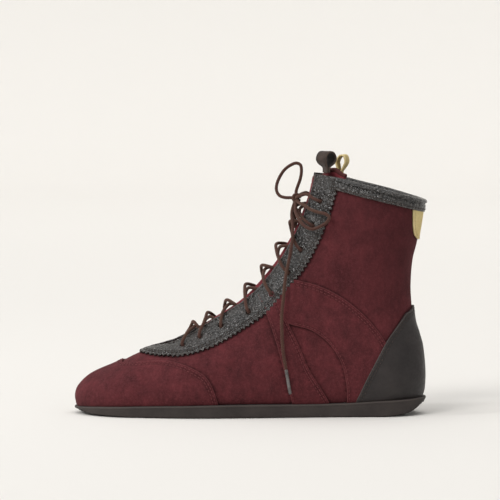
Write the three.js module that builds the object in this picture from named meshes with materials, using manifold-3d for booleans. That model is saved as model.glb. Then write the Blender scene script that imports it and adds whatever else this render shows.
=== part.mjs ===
// A lace-up boxing boot for the left foot: flat rubber sole, suede upper, leather facings, counter, collar.
// Millimetres. The toe points to -X, the lateral (outer) side to -Y and +Z is up. The origin is on the sole's
// flat ground face, halfway along the boot.
import * as THREE from "three";
import { mergeVertices } from "three/addons/utils/BufferGeometryUtils.js";
import Module from "manifold-3d";

const wasm = await Module();
wasm.setup();

// ---- driving dimensions ---------------------------------------------------------------------------------
const GAP = 0.3; // clearance between touching pieces
const LINING = 1.0;
const QUARTER = 1.4;
const OVERLAY = 1.3;
const TONGUE = 2.2;
const LACE_RADIUS = 1.2;
const EYELET_RADIUS = 2.3;
const EYELET_COUNT = 9;
const EYELET_HALF_SPAN = 21; // an eyelet's distance from the boot's middle plane

// Layers, as distances out from the skin of the quarters.
const SKIN = 0;
const QUARTER_IN = SKIN - QUARTER;
const LINING_OUT = QUARTER_IN - GAP;
const LINING_IN = LINING_OUT - LINING;
const OVER_IN = SKIN + GAP;
const OVER_OUT = OVER_IN + OVERLAY;

// Side-view profiles of the skin: [height, x].
const FRONT_PROFILE = [
  [3, -131], [8, -132.8], [13, -133.8], [18, -132.6], [23, -128.9], [28, -123.2], [33, -113.6],
  [38.5, -102], [46, -86], [55, -60.5], [64, -44], [74, -28], [87, -9], [98, 3], [114, 16], [130, 26.5],
  [145, 35.5], [158, 40.5], [170, 44], [196, 50], [400, 98],
];
const BACK_PROFILE = [
  [3, 124], [8, 128], [13.5, 130.2], [20, 132.3], [31, 133], [39, 132.7], [51, 130.9], [62, 127.5],
  [71, 124.8], [83, 123.6], [95, 123.4], [108, 123.6], [119, 124.6], [135, 128], [148, 130.5],
  [165, 133.2], [196, 137],
];
// Half-widths of the foot: [x, half-width].
const LATERAL_WIDTH = [
  [-134, 34], [-90, 37.5], [-45, 42], [0, 39], [30, 35.5], [70, 31.5], [100, 30.5], [134, 30],
];
const MEDIAL_WIDTH = [
  [-134, 34], [-90, 39.5], [-60, 41], [-20, 36], [10, 31.5], [50, 30.5], [100, 30.5], [134, 30],
];
const SHAFT_WIDTH = [[0, 31], [50, 31], [85, 30], [120, 31], [165, 33], [196, 34]]; // [height, half-width]
const FEATHER_LINE = [
  [-136, 5.8], [-115, 7.6], [-66, 9.4], [0, 10.4], [40, 10.4], [73, 11], [96, 12.3], [136, 13.9],
];
const NOSE_HEIGHT = 13;
const NOSE_LENGTH = 46; // from the toe's tip back to where the toe is full width
const TOE_SWING = 5; // how far the toe's tip swings to the medial side
const TOE_SWING_START = -20;

// Side-view outlines of the pieces: [x, z].
const TOE_CAP_EDGE = [[-100.3, 42], [-96.3, 39], [-84, 40.5], [-70.8, 41.9], [-57.6, 41.5], [-44.4, 37.5],
  [-33.9, 31.6], [-28.6, 23.8], [-24.2, 10.7], [-23, 4]];
const FACING_OUTER = [
  [66.8, 184.5], [66.8, 176.6], [63.8, 164.1], [58.2, 147.7], [54.5, 137.6], [46.2, 120.9], [39, 109.1],
  [29.2, 98.3], [20.7, 87.8], [13.9, 80.1], [-0.2, 69.6], [-11.6, 62.4], [-24.8, 55.2], [-38, 49.7],
  [-51.2, 46.4], [-64.4, 45.6], [-74, 45.8], [-81.5, 48.5],
];
const STRAP_FRONT = [[5, 92], [12.6, 78], [18.5, 61.1], [24.4, 40.5], [30.2, 18], [31.9, 10.8], [33, 4]];
const STRAP_BACK = [[19, 96], [26.4, 77], [36.6, 55.7], [44.9, 36.3], [54.2, 21.4], [60.1, 11.3], [63, 4]];
const COUNTER_EDGE = [
  [126, 84.5], [118, 77.7], [111.4, 68], [103.1, 56.6], [96.3, 43.9], [89.5, 30.9], [79.9, 11.3],
  [76, 4],
];
const ANKLE_OUTER = [[36, 104], [52, 100], [70, 91], [86, 78], [98, 64], [104, 55]];
const ANKLE_INNER = [[33, 70], [47, 66], [60, 56], [69, 42], [73, 26], [74, 4]];
const COLLAR_TOP = [[50, 184.4], [66.6, 182.1], [86.2, 177.2], [106.7, 172.1], [134.8, 164.5], [142, 163]];
const BINDING_HEIGHT = 6.8;
const BACK_PATCH = [
  [142, 133.5], [128.1, 134], [125, 137.5], [123.6, 144], [123.2, 152], [123.4, 162], [142, 162],
];

// Front-view half-widths: [height, half-width]. The throat is the gap between the facings, over the tongue.
const THROAT_WIDTH = [[49, 0.5], [51, 5], [54.5, 9.5], [60, 11.6], [110, 12.2], [150, 12], [200, 13]];
const TONGUE_WIDTH = [[40, 12], [48, 19], [70, 23], [110, 25], [160, 27], [190, 29]];
const TONGUE_TOP = [[60, 187], [64, 183], [90, 183]]; // side view, from the front to the back
const TONGUE_DEPTH = 26; // how far the tongue reaches back from the front ridge

const RING_STEPS = 32;
const RING_LEVELS = [3, 8, 13, 19, 26, 34, 43, 54, 67, 82, 98, 115, 133, 152, 172, 204];

// ---- small helpers --------------------------------------------------------------------------------------
const clamp = (v, low, high) => Math.min(high, Math.max(low, v));
const mix = (a, b, t) => a + (b - a) * t;
function smoothstep(low, high, v) {
  const t = clamp((v - low) / (high - low), 0, 1);
  return t * t * (3 - 2 * t);
}

// A smooth curve y(x) through [x, y] points that never overshoots them.
function through(points) {
  const n = points.length;
  const slopes = [];
  for (let i = 0; i < n - 1; i++) {
    slopes.push((points[i + 1][1] - points[i][1]) / (points[i + 1][0] - points[i][0]));
  }
  const tangents = [slopes[0]];
  for (let i = 1; i < n - 1; i++) {
    const [a, b] = [slopes[i - 1], slopes[i]];
    tangents.push(a * b <= 0 ? 0 : (2 * a * b) / (a + b));
  }
  tangents.push(slopes[n - 2]);
  return (x) => {
    const v = clamp(x, points[0][0], points[n - 1][0]);
    let i = 0;
    while (i < n - 2 && v > points[i + 1][0]) i++;
    const h = points[i + 1][0] - points[i][0];
    const t = (v - points[i][0]) / h;
    const t2 = t * t;
    const t3 = t2 * t;
    return (2 * t3 - 3 * t2 + 1) * points[i][1] + (t3 - 2 * t2 + t) * h * tangents[i] +
      (-2 * t3 + 3 * t2) * points[i + 1][1] + (t3 - t2) * h * tangents[i + 1];
  };
}

function bisect(low, high, isBelow) {
  for (let i = 0; i < 40; i++) {
    const middle = (low + high) / 2;
    if (isBelow(middle)) low = middle;
    else high = middle;
  }
  return (low + high) / 2;
}

// ---- the boot's skin ------------------------------------------------------------------------------------
const frontX = through(FRONT_PROFILE);
const backX = through(BACK_PROFILE);
const lateralWidth = through(LATERAL_WIDTH);
const medialWidth = through(MEDIAL_WIDTH);
const shaftWidth = through(SHAFT_WIDTH);
const featherZ = through(FEATHER_LINE);
const ridgeZ = (x) => bisect(NOSE_HEIGHT, 400, (z) => frontX(z) < x);
const roundEnd = (t, power = 2) => Math.sqrt(Math.max(0, 1 - Math.pow(1 - clamp(t, 0, 1), power)));

// The boot's middle line swings to the medial side towards the toe.
const middleY = (x) => TOE_SWING * Math.pow(clamp((TOE_SWING_START - x) / 114, 0, 1), 2);

// Half the boot's width at a side-view point, on the lateral (side -1) or medial (side 1) half.
function halfWidth(x, z, side) {
  const depth = backX(z) - frontX(z);
  const foot = side < 0 ? lateralWidth(x) : medialWidth(x);
  const noseX = z < NOSE_HEIGHT ? frontX(z) : frontX(NOSE_HEIGHT);
  const nose = roundEnd((x - noseX) / NOSE_LENGTH);
  const width = mix(foot * nose, shaftWidth(z), smoothstep(40, 105, z));
  const rise = clamp((z - featherZ(x)) / (ridgeZ(x) - featherZ(x)), 0, 1);
  const overVamp = Math.sqrt(Math.max(0, 1 - Math.pow(rise, 2.2)));
  const frontLength = Math.min(0.6 * depth, 66);
  const aroundShaft = roundEnd((x - frontX(z)) / frontLength, 2.2);
  const front = z < NOSE_HEIGHT ? 1 : mix(overVamp, aroundShaft, smoothstep(55, 125, z));
  const backLength = mix(34, 0.42 * depth, smoothstep(40, 110, z));
  const back = roundEnd((backX(z) - x) / backLength, 2.2);
  const tuck = 1 - 0.07 * Math.pow(clamp(1 - (z - featherZ(x)) / 16, 0, 1), 2);
  return width * front * back * tuck;
}

// A skin point: angle 0 is the front ridge, 90 degrees the lateral side, 180 degrees the back.
function skinPoint(angle, z) {
  const side = Math.sin(angle) > 0 ? -1 : 1;
  const x = mix(frontX(z), backX(z), (1 - Math.cos(angle)) / 2);
  const y = Math.abs(Math.sin(angle)) < 1e-9 ? 0 : side * halfWidth(x, z, side);
  return new THREE.Vector3(x, middleY(x) + y, z);
}

function offsetPoint(angle, z, distance) {
  const step = 0.02;
  const around = skinPoint(angle + step, z).sub(skinPoint(angle - step, z));
  const up = skinPoint(angle, z + 1).sub(skinPoint(angle, z - 1));
  const normal = around.cross(up).normalize();
  return skinPoint(angle, z).addScaledVector(normal, distance);
}

// A point over the front of the boot at a given y and height, a distance out from the skin.
function saddlePoint(y, z) {
  const side = y < 0 ? -1 : 1;
  const x = bisect(frontX(z), frontX(z) + 60, (v) => halfWidth(v, z, side) < Math.abs(y));
  return new THREE.Vector3(x, y, z);
}
function overSaddle(y, z, distance) {
  const across = saddlePoint(y + 0.8, z).sub(saddlePoint(y - 0.8, z));
  const up = saddlePoint(y, z + 1).sub(saddlePoint(y, z - 1));
  const normal = up.cross(across).normalize().negate();
  if (normal.x > 0) normal.negate();
  return saddlePoint(y, z).addScaledVector(normal, distance);
}

// ---- solids ---------------------------------------------------------------------------------------------
function solidOf(geometry) {
  const bare = geometry.clone();
  bare.deleteAttribute("normal");
  bare.deleteAttribute("uv");
  const merged = mergeVertices(bare, 1e-4);
  const mesh = new wasm.Mesh({
    numProp: 3,
    vertProperties: Float32Array.from(merged.attributes.position.array),
    triVerts: Uint32Array.from(merged.index.array),
  });
  return new wasm.Manifold(mesh);
}

function geometryOf(solid) {
  const mesh = solid.getMesh();
  const geometry = new THREE.BufferGeometry();
  geometry.setAttribute("position", new THREE.BufferAttribute(mesh.vertProperties, 3));
  geometry.setIndex(new THREE.BufferAttribute(mesh.triVerts, 1));
  return geometry;
}

function indexed(points, triangles) {
  const geometry = new THREE.BufferGeometry();
  geometry.setAttribute("position", new THREE.Float32BufferAttribute(points.flatMap((p) => p.toArray()), 3));
  geometry.setIndex(triangles);
  return geometry;
}

// A closed wall round the boot between two offsets from the skin. Each is a number, or a function of the
// distance from the boot's middle and of the height.
function tube(inner, outer) {
  const points = [];
  const levels = RING_LEVELS.length;
  for (const wall of [outer, inner]) {
    for (const z of RING_LEVELS) {
      for (let i = 0; i < RING_STEPS; i++) {
        const angle = (2 * Math.PI * i) / RING_STEPS;
        const skin = skinPoint(angle, z);
        const distance = typeof wall === "number" ? wall : wall(Math.abs(skin.y - middleY(skin.x)), z);
        points.push(offsetPoint(angle, z, distance));
      }
    }
  }
  const at = (wall, level, i) => (wall * levels + level) * RING_STEPS + (i % RING_STEPS);
  const triangles = [];
  const quad = (a, b, c, d) => triangles.push(a, b, c, a, c, d);
  for (let i = 0; i < RING_STEPS; i++) {
    for (let level = 0; level < levels - 1; level++) {
      // Both walls split their quads along the same diagonal, so neighbouring layers stay parallel.
      const [a, b] = [at(0, level, i), at(0, level, i + 1)];
      const [c, d] = [at(0, level + 1, i + 1), at(0, level + 1, i)];
      const inward = levels * RING_STEPS;
      quad(a, b, c, d);
      triangles.push(a + inward, c + inward, b + inward, a + inward, d + inward, c + inward);
    }
    quad(at(1, 0, i), at(1, 0, i + 1), at(0, 0, i + 1), at(0, 0, i));
    quad(at(0, levels - 1, i), at(0, levels - 1, i + 1), at(1, levels - 1, i + 1), at(1, levels - 1, i));
  }
  return solidOf(indexed(points, triangles));
}

// A closed stack of rings from the lowest up. A ring's points i and count - i share one x, and the strips
// between such pairs close the two ends.
function stack(rings) {
  const points = rings.flat();
  const count = rings[0].length;
  const last = (rings.length - 1) * count;
  const triangles = [];
  for (let level = 0; level < rings.length - 1; level++) {
    for (let i = 0; i < count; i++) {
      const [a, b] = [level * count + i, level * count + ((i + 1) % count)];
      triangles.push(a, b, b + count, a, b + count, a + count);
    }
  }
  for (let i = 0; i < count / 2; i++) {
    const [near, nearNext] = [i, i + 1];
    const [far, farNext] = [(count - i) % count, count - i - 1];
    if (nearNext !== farNext) {
      triangles.push(near, farNext, nearNext, last + near, last + nearNext, last + farNext);
    }
    if (near !== far) {
      triangles.push(near, far, farNext, last + near, last + farNext, last + far);
    }
  }
  return indexed(points, triangles);
}

// A side-view region, extruded through one or both halves of the boot.
const LATERAL = [-90, -GAP / 2];
const MEDIAL = [GAP / 2, 90];
const BOTH = [-90, 90];
const SIDE_VIEW = new THREE.Matrix4().makeBasis(
  new THREE.Vector3(1, 0, 0), new THREE.Vector3(0, 0, 1), new THREE.Vector3(0, -1, 0));
const FRONT_VIEW = new THREE.Matrix4().makeBasis(
  new THREE.Vector3(0, 1, 0), new THREE.Vector3(0, 0, 1), new THREE.Vector3(1, 0, 0));
function slab(outline, depth) {
  const shape = new THREE.Shape(outline.map(([u, v]) => new THREE.Vector2(u, v)));
  return new THREE.ExtrudeGeometry(shape, { depth, bevelEnabled: false, steps: 1 });
}
function region(outline, [low, high], shiftX = 0) {
  return solidOf(slab(outline, high - low).applyMatrix4(SIDE_VIEW).translate(shiftX, high, 0));
}
// A front-view [y, z] region, extruded along the boot.
function frontRegion(outline) {
  return solidOf(slab(outline, 2 * FAR_BACK).applyMatrix4(FRONT_VIEW).translate(FAR_FRONT, 0, 0));
}

// A smooth side-view edge through its points.
function edge(points, steps = 2) {
  const curve = new THREE.SplineCurve(points.map(([x, z]) => new THREE.Vector2(x, z)));
  return curve.getPoints((points.length - 1) * steps).map((p) => [p.x, p.y]);
}

// The boot's foot edge from one x to another, which every upper piece stands on.
function footEdge(from, to, rise = 0, steps = 12) {
  const points = [];
  for (let i = 0; i <= steps; i++) {
    const x = mix(from, to, i / steps);
    points.push([x, featherZ(x) + rise]);
  }
  return points;
}

// ---- side-view regions ----------------------------------------------------------------------------------
const reversed = (points) => [...points].reverse();
const collarLine = (drop) => edge(COLLAR_TOP, 2).map(([x, z]) => [x, z - drop]);
const [FAR_FRONT, FAR_BACK, FAR_UP] = [-150, 150, 215];
const wholeUpper = (drop) => [...footEdge(FAR_FRONT, FAR_BACK, 0, 12), ...reversed(collarLine(drop)),
  [40, 184.4 - drop], [FAR_FRONT, 184.4 - drop]];
const aheadOfToeEdge = [...edge(TOE_CAP_EDGE), [FAR_FRONT, 0], [FAR_FRONT, 60], [-100.3, 60]];
const aheadOfStrapMiddle = [
  ...edge(STRAP_FRONT).map(([x, z]) => [x + 8, z]), [FAR_FRONT, 0], [FAR_FRONT, FAR_UP],
  [70, FAR_UP], [70, 140]];
const strap = [...edge(STRAP_FRONT), ...reversed(edge(STRAP_BACK))];
const behindCounterEdge = [...edge(COUNTER_EDGE), [FAR_BACK, 0], [FAR_BACK, 84.5]];
const facing = [[-82.5, 52], [-82.5, 184.5], ...edge(FACING_OUTER, 1)];
const ankle = [...edge(ANKLE_OUTER), [110, 40], [80, 4], ...reversed(edge(ANKLE_INNER))];
const bindingBand = [...reversed(collarLine(BINDING_HEIGHT)), ...collarLine(0)];

// ---- sole -----------------------------------------------------------------------------------------------
const SOLE_HALF_LENGTH = 135;
const SOLE_OVERHANG = 2; // how far the sole's edge stands out from the skin
const SOLE_STEPS = 56;
const SOLE_BOTTOM = [
  [-135, 4], [-133, 3.4], [-129, 2.5], [-119, 1.2], [-100, 0.4], [-86, 0], [96, 0], [108, 0.6], [116, 1.6],
  [122, 3], [127, 5.5], [130.5, 8], [135, 10.2],
];
const soleBottom = through(SOLE_BOTTOM);
const HEEL_ROUND = 36;

function soleOutline(angle, inset) {
  const side = Math.sin(angle) > 0 ? -1 : 1;
  const reach = SOLE_HALF_LENGTH - inset;
  const x = -reach * Math.cos(angle);
  const foot = (side < 0 ? lateralWidth(x) : medialWidth(x)) + SOLE_OVERHANG - inset;
  const y = Math.abs(Math.sin(angle)) < 1e-9
    ? 0
    : side * foot * roundEnd((x + reach) / NOSE_LENGTH) * roundEnd((reach - x) / HEEL_ROUND, 2.2);
  return [x, middleY(x) + y];
}

// A flat layer that follows the foot: between two heights given as functions of x.
function footLayer(rings) {
  return stack(rings.map(({ inset, height }) => {
    const ring = [];
    for (let i = 0; i < SOLE_STEPS; i++) {
      // From above, the ring runs anticlockwise.
      const [x, y] = soleOutline((2 * Math.PI * i) / SOLE_STEPS, inset);
      ring.push(new THREE.Vector3(x, y, height(x)));
    }
    return ring;
  }));
}
const outsole = () => footLayer([
  { inset: 3.2, height: (x) => soleBottom(x) },
  { inset: 0.9, height: (x) => soleBottom(x) + 0.6 },
  { inset: 0.4, height: (x) => mix(soleBottom(x), featherZ(x), 0.4) },
  { inset: 0, height: (x) => featherZ(x) - GAP - 0.5 },
  { inset: 0.6, height: (x) => featherZ(x) - GAP },
]);
const BOARD_INSET = 12;
const BOARD_THICKNESS = 1.8;
const FOOTBED_THICKNESS = 3.4;
const insoleBoard = () => footLayer([
  { inset: BOARD_INSET, height: (x) => featherZ(x) },
  { inset: BOARD_INSET, height: (x) => featherZ(x) + BOARD_THICKNESS },
]);
const footbed = () => footLayer([
  { inset: BOARD_INSET + 0.4, height: (x) => featherZ(x) + BOARD_THICKNESS + GAP },
  { inset: BOARD_INSET, height: (x) => featherZ(x) + BOARD_THICKNESS + GAP + FOOTBED_THICKNESS },
]);

// ---- panels ---------------------------------------------------------------------------------------------
const TONGUE_CROWN = -0.9; // the tongue's top stands this far out from the skin at its middle
const TONGUE_UNDER = -7.3; // and this far under the facings
const tongueCrown = (z) => mix(TONGUE_UNDER, TONGUE_CROWN, smoothstep(53, 72, z));
const tongueSurface = (y, z) => mix(tongueCrown(z), TONGUE_UNDER, smoothstep(0, 11, y));
const liningWall = tube(LINING_IN, LINING_OUT);
const quarterWall = tube(QUARTER_IN, SKIN);
const outerWall = tube(OVER_IN, OVER_OUT);
const tongueWall = tube((y, z) => tongueSurface(y, z) - TONGUE, tongueSurface);

const frontBand = (points) =>
  [...points.map(([z, y]) => [y, z]), ...reversed(points).map(([z, y]) => [-y, z])];
const nearRidge = (depth) => [[FAR_FRONT, 40], [-82, 40],
  ...FRONT_PROFILE.filter(([z]) => z > 40 && z < 400).map(([z, x]) => [x + depth, z]), [FAR_FRONT, 196]];
const underTongueTop = [
  [FAR_FRONT, 0], [FAR_BACK, 0], ...reversed(TONGUE_TOP), [FAR_FRONT, TONGUE_TOP[0][1]],
];
const throatCut = frontRegion(frontBand(THROAT_WIDTH)).intersect(region(nearRidge(22), BOTH));

// An eyelet's punched hole, along the facing's normal.
const EYELET_ROW = [[-54.4, 53.4], [-17.5, 66.9], [15.2, 92.8], [38.1, 126.7], [54.8, 163.9]];
const eyeletHeights = new THREE.SplineCurve(EYELET_ROW.map(([x, z]) => new THREE.Vector2(x, z)))
  .getSpacedPoints(EYELET_COUNT - 1)
  .map((p) => p.y);
function eyeletPunch(side, z) {
  const outer = overSaddle(side * EYELET_HALF_SPAN, z, 6);
  const inner = overSaddle(side * EYELET_HALF_SPAN, z, -8);
  const punch = new THREE.CylinderGeometry(EYELET_RADIUS, EYELET_RADIUS, outer.distanceTo(inner), 8);
  const turn = new THREE.Quaternion().setFromUnitVectors(
    new THREE.Vector3(0, 1, 0), outer.clone().sub(inner).normalize());
  punch.applyQuaternion(turn);
  punch.translate(...outer.add(inner).multiplyScalar(0.5).toArray());
  return solidOf(punch);
}

const cut = (solid, ...tools) => tools.reduce((left, tool) => left.subtract(tool), solid);
const panel = (wall, outline, half = BOTH) => wall.intersect(region(outline, half));

const SUEDE = { color: 0x5c282c, roughness: 0.95 };
const GRAINED = { color: 0x2e2724, roughness: 0.4 };
const SMOOTH = { color: 0x383434, roughness: 0.6 };
const TEXTILE = { color: 0x4a2a2c, roughness: 0.95 };
const YELLOW = { color: 0xdcc88c, roughness: 0.95 };
const LACE = { color: 0x7a4438, roughness: 0.85 };

const group = new THREE.Group();
group.name = "boxing_boot";
function add(name, geometry, look) {
  const mesh = new THREE.Mesh(geometry, new THREE.MeshStandardMaterial({ metalness: 0, ...look }));
  mesh.name = name;
  group.add(mesh);
  return mesh;
}
const addSolid = (name, solid, look) => add(name, geometryOf(solid), look);

function addUpper() {
  const facingCut = region(facing, BOTH, GAP).add(region(facing, BOTH));
  const strapCut = region(strap, BOTH, GAP).add(region(strap, BOTH));
  const counterCut = region(behindCounterEdge, BOTH, -GAP);
  for (const [side, half] of [["lateral", LATERAL], ["medial", MEDIAL]]) {
    const sign = side === "lateral" ? -1 : 1;
    const openings = [throatCut, ...eyeletHeights.map((z) => eyeletPunch(sign, z))];
    addSolid(`lining_${side}`, cut(panel(liningWall, wholeUpper(1.6), half), ...openings), TEXTILE);
    const base = cut(panel(quarterWall, wholeUpper(1.6), half), ...openings);
    addSolid(`vamp_${side}`, base.intersect(region(aheadOfStrapMiddle, BOTH)), SUEDE);
    addSolid(`rear_quarter_${side}`, base.subtract(region(aheadOfStrapMiddle, BOTH, GAP)), SUEDE);
    addSolid(`facing_${side}`, cut(panel(outerWall, facing, half), ...openings), GRAINED);
    const strapPanel = panel(outerWall, strap, half);
    addSolid(`instep_strap_${side}`, strapPanel.intersect(footCut).subtract(facingCut), SUEDE);
    const ankleCuts = [facingCut, strapCut, counterCut];
    const anklePanel = cut(panel(outerWall, ankle, half), ...ankleCuts);
    addSolid(`ankle_overlay_${side}`, anklePanel.intersect(footCut), SUEDE);
  }
  addSolid("toe_cap", panel(outerWall, aheadOfToeEdge).intersect(footCut), SUEDE);
  addSolid("heel_counter", panel(outerWall, behindCounterEdge).intersect(footCut), SMOOTH);
  addSolid("collar_binding", panel(outerWall, bindingBand).subtract(facingCut), GRAINED);
  addSolid("back_patch", panel(outerWall, BACK_PATCH).subtract(region(bindingGapBand, BOTH)), YELLOW);
  const tongueBand = frontRegion(frontBand(TONGUE_WIDTH)).intersect(region(nearRidge(TONGUE_DEPTH), BOTH));
  addSolid("tongue", panel(tongueWall, underTongueTop).intersect(tongueBand), SUEDE);
}
const footCut = region(wholeUpper(0), BOTH);
const bindingGapBand = [...reversed(collarLine(BINDING_HEIGHT + GAP)), ...collarLine(-1)];

// ---- pull loops -----------------------------------------------------------------------------------------
const LOOP_STRAP = 1.5; // the loops' strap thickness
const LOOP_NECK = 1.2; // from a loop's pivot up to where its strap parts
const LOOP_ARC = 0.36 * Math.PI; // half the angle that the neck takes out of the oval
const LOOP_POINTS = 12;
// Both loops stand on the tongue's top edge and turn with it round the ankle.
const LATERAL_LOOP = { width: 11, opening: [4.4, 4.4], pivot: [58, -17, 188.9], turn: 0.3 };
const MEDIAL_LOOP = { width: 10, opening: [3.6, 4.4], pivot: [70, 23.2, 184.9], turn: -0.2 };

// A strap folded into an oval loop on a short neck. It stands on its pivot at the origin and opens along Y.
// Its opening is given as half its width and half its height.
function pullLoop(width, [across, up]) {
  const centre = LOOP_NECK + up + LOOP_STRAP;
  const outline = [];
  for (let i = 0; i <= LOOP_POINTS; i++) {
    const angle = mix(-Math.PI / 2 + LOOP_ARC, 1.5 * Math.PI - LOOP_ARC, i / LOOP_POINTS);
    outline.push([(across + LOOP_STRAP) * Math.cos(angle), centre + (up + LOOP_STRAP) * Math.sin(angle)]);
  }
  outline.push([-LOOP_STRAP, 0], [0, -LOOP_STRAP], [LOOP_STRAP, 0]);
  const shape = new THREE.Shape(outline.map(([u, v]) => new THREE.Vector2(u, v)));
  const hole = new THREE.Path();
  hole.absellipse(0, centre, across, up, 0, 2 * Math.PI, true);
  shape.holes.push(hole);
  const geometry = new THREE.ExtrudeGeometry(shape, {
    depth: width, bevelEnabled: false, steps: 1, curveSegments: 7,
  });
  return geometry.applyMatrix4(SIDE_VIEW).translate(0, width / 2, 0);
}

function addLoop(name, { width, opening, pivot, turn }, look) {
  const loop = add(name, pullLoop(width, opening), look);
  loop.position.set(...pivot);
  loop.rotation.z = turn;
}

// ---- laces ----------------------------------------------------------------------------------------------
const OUTSIDE = OVER_OUT + LACE_RADIUS + 0.8;
const INSIDE = LINING_IN - LACE_RADIUS - 0.75;
const CROWN_RISE = 9.4; // how much higher a lace stands over the ridge than at its eyelets
const TOP_CROWN_RISE = 3; // the same under the knot
const UNDER_CROWN = 1.6;
const OVER_CROWN = UNDER_CROWN + 2 * LACE_RADIUS + 1.4;
const KNOT = { centre: [35.5, -1, 165.5], radii: [3.4, 4.2, 3.6] };

// One crossing: out of an eyelet, over its facing and the tongue, then under the other facing to an eyelet.
function crossing(side, k, crownOffset) {
  const [low, high] = [eyeletHeights[k], eyeletHeights[k + 1]];
  const at = (share, y, offset) => {
    const rise = k === EYELET_COUNT - 2 ? TOP_CROWN_RISE : CROWN_RISE;
    const crown = rise * (1 - Math.pow(y / EYELET_HALF_SPAN, 2));
    return overSaddle(side * y, mix(low, high, share) + crown, offset);
  };
  return [
    at(0, EYELET_HALF_SPAN, INSIDE + 1.6), at(0, EYELET_HALF_SPAN, OUTSIDE - 1.1),
    at(0.06, 18.5, OUTSIDE + 0.4), at(0.2, 13, OUTSIDE + 0.5),
    at(0.33, 7, mix(OUTSIDE, crownOffset, 0.5)), at(0.5, 0, crownOffset),
    at(0.67, -6.5, mix(INSIDE, crownOffset, 0.62)), at(0.8, -10.4, INSIDE), at(0.92, -17.5, INSIDE - 0.2),
  ];
}

// A curve that is sampled at its own points, so a swept lace has a section at each of them.
class LaceCurve extends THREE.CatmullRomCurve3 {
  getPointAt(t) {
    return this.getPoint(t);
  }
  getTangentAt(t) {
    return this.getTangent(t);
  }
}
function laceTube(points, radius = LACE_RADIUS, stepsBetween = 1) {
  const route = points.map((p) => (Array.isArray(p) ? new THREE.Vector3(...p) : p));
  const curve = new LaceCurve(route, false, "centripetal");
  const section = new THREE.Shape();
  section.absellipse(0, 0, radius, radius, 0, 2 * Math.PI, false);
  return new THREE.ExtrudeGeometry(section, {
    steps: (points.length - 1) * stepsBetween, extrudePath: curve, bevelEnabled: false, curveSegments: 4,
  });
}

// One half of the lace, from the middle of the bottom bar up through its eyelets to the knot.
function laceHalf(startSide) {
  const low = eyeletHeights[0];
  const points = [
    overSaddle(startSide * 0.6, low - 3, INSIDE), overSaddle(startSide * 9, low - 3, INSIDE),
    overSaddle(startSide * 18, low - 1, INSIDE - 0.6),
  ];
  let side = startSide;
  for (let k = 0; k < EYELET_COUNT - 1; k++) {
    points.push(...crossing(side, k, side > 0 ? OVER_CROWN : UNDER_CROWN));
    side = -side;
  }
  const top = eyeletHeights[EYELET_COUNT - 1];
  points.push(overSaddle(side * EYELET_HALF_SPAN, top, INSIDE + 1.6));
  points.push(overSaddle(side * EYELET_HALF_SPAN, top, OUTSIDE - 1.2));
  points.push(overSaddle(side * 18, top + 1.5, OUTSIDE + 0.5), overSaddle(side * 12, top + 4, OUTSIDE + 1));
  const [x, y, z] = KNOT.centre;
  points.push(new THREE.Vector3(x + 0.5, y + side * (KNOT.radii[1] + 1.7), z + 1));
  return points;
}

// The bow's two loops and the two loose ends, from the knot outwards.
const BOW_LOOP_MEDIAL = [
  [31.4, 0.5, 165.6], [27, 2, 165.6], [22.6, 4, 167], [20.4, 5.5, 170.6], [20.4, 6.5, 175],
  [22.6, 7.4, 181], [26.4, 8, 186.6], [31, 8, 190.2], [35.6, 7.6, 191.8], [38.6, 7, 190.4],
  [39.4, 6, 186], [38.4, 5, 179.6], [36.4, 3.4, 174], [35.4, 2.4, 170.9],
];
const BOW_LOOP_LATERAL = [
  [37, -8.6, 162.4], [40.6, -17, 161], [46.5, -25.6, 157.6], [52, -30, 155.8], [57, -32.8, 154.8],
  [59.9, -34, 152.2], [57.9, -33.8, 148.4], [53, -32.2, 145.2], [47, -30, 143.2], [41.4, -26, 145.4],
  [37, -19.6, 150.4], [34.6, -12, 156], [34.8, -6.4, 160.2],
];
const TAIL_LATERAL = [
  [33.4, -2.8, 160.2], [31.8, -8, 154], [32.4, -16, 146.5], [32.4, -21, 138], [31.2, -25, 128],
  [29.5, -26.6, 119], [27.5, -28.4, 109.8], [26.1, -31, 99.2], [25, -33.6, 88], [24, -35.4, 78],
  [24.1, -38, 66.1], [25.1, -39.8, 50], [27.2, -40.6, 37.5],
];
const TAIL_MEDIAL = [
  [33.6, 1.6, 160.4], [32.4, 8, 155], [34.4, 16, 149.4], [35.6, 22.6, 140], [36, 27.4, 128],
  [35, 30.4, 114], [34, 32.8, 100], [33, 34.6, 86], [33, 35.6, 74], [34.6, 36, 61], [36.4, 36.4, 48],
];
const AGLET = { radius: 1.45, length: 19, gap: 0.3 };

// An aglet goes on from the end of its lace.
function addAglet(name, tail) {
  const [before, end] = tail.slice(-2).map((p) => new THREE.Vector3(...p));
  const along = end.clone().sub(before).normalize();
  const aglet = add(name, new THREE.CylinderGeometry(AGLET.radius, AGLET.radius, AGLET.length, 10),
    { color: 0x8a8684, roughness: 0.5 });
  aglet.position.copy(end).addScaledVector(along, AGLET.length / 2 + AGLET.gap);
  aglet.quaternion.setFromUnitVectors(new THREE.Vector3(0, 1, 0), along);
}

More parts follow.
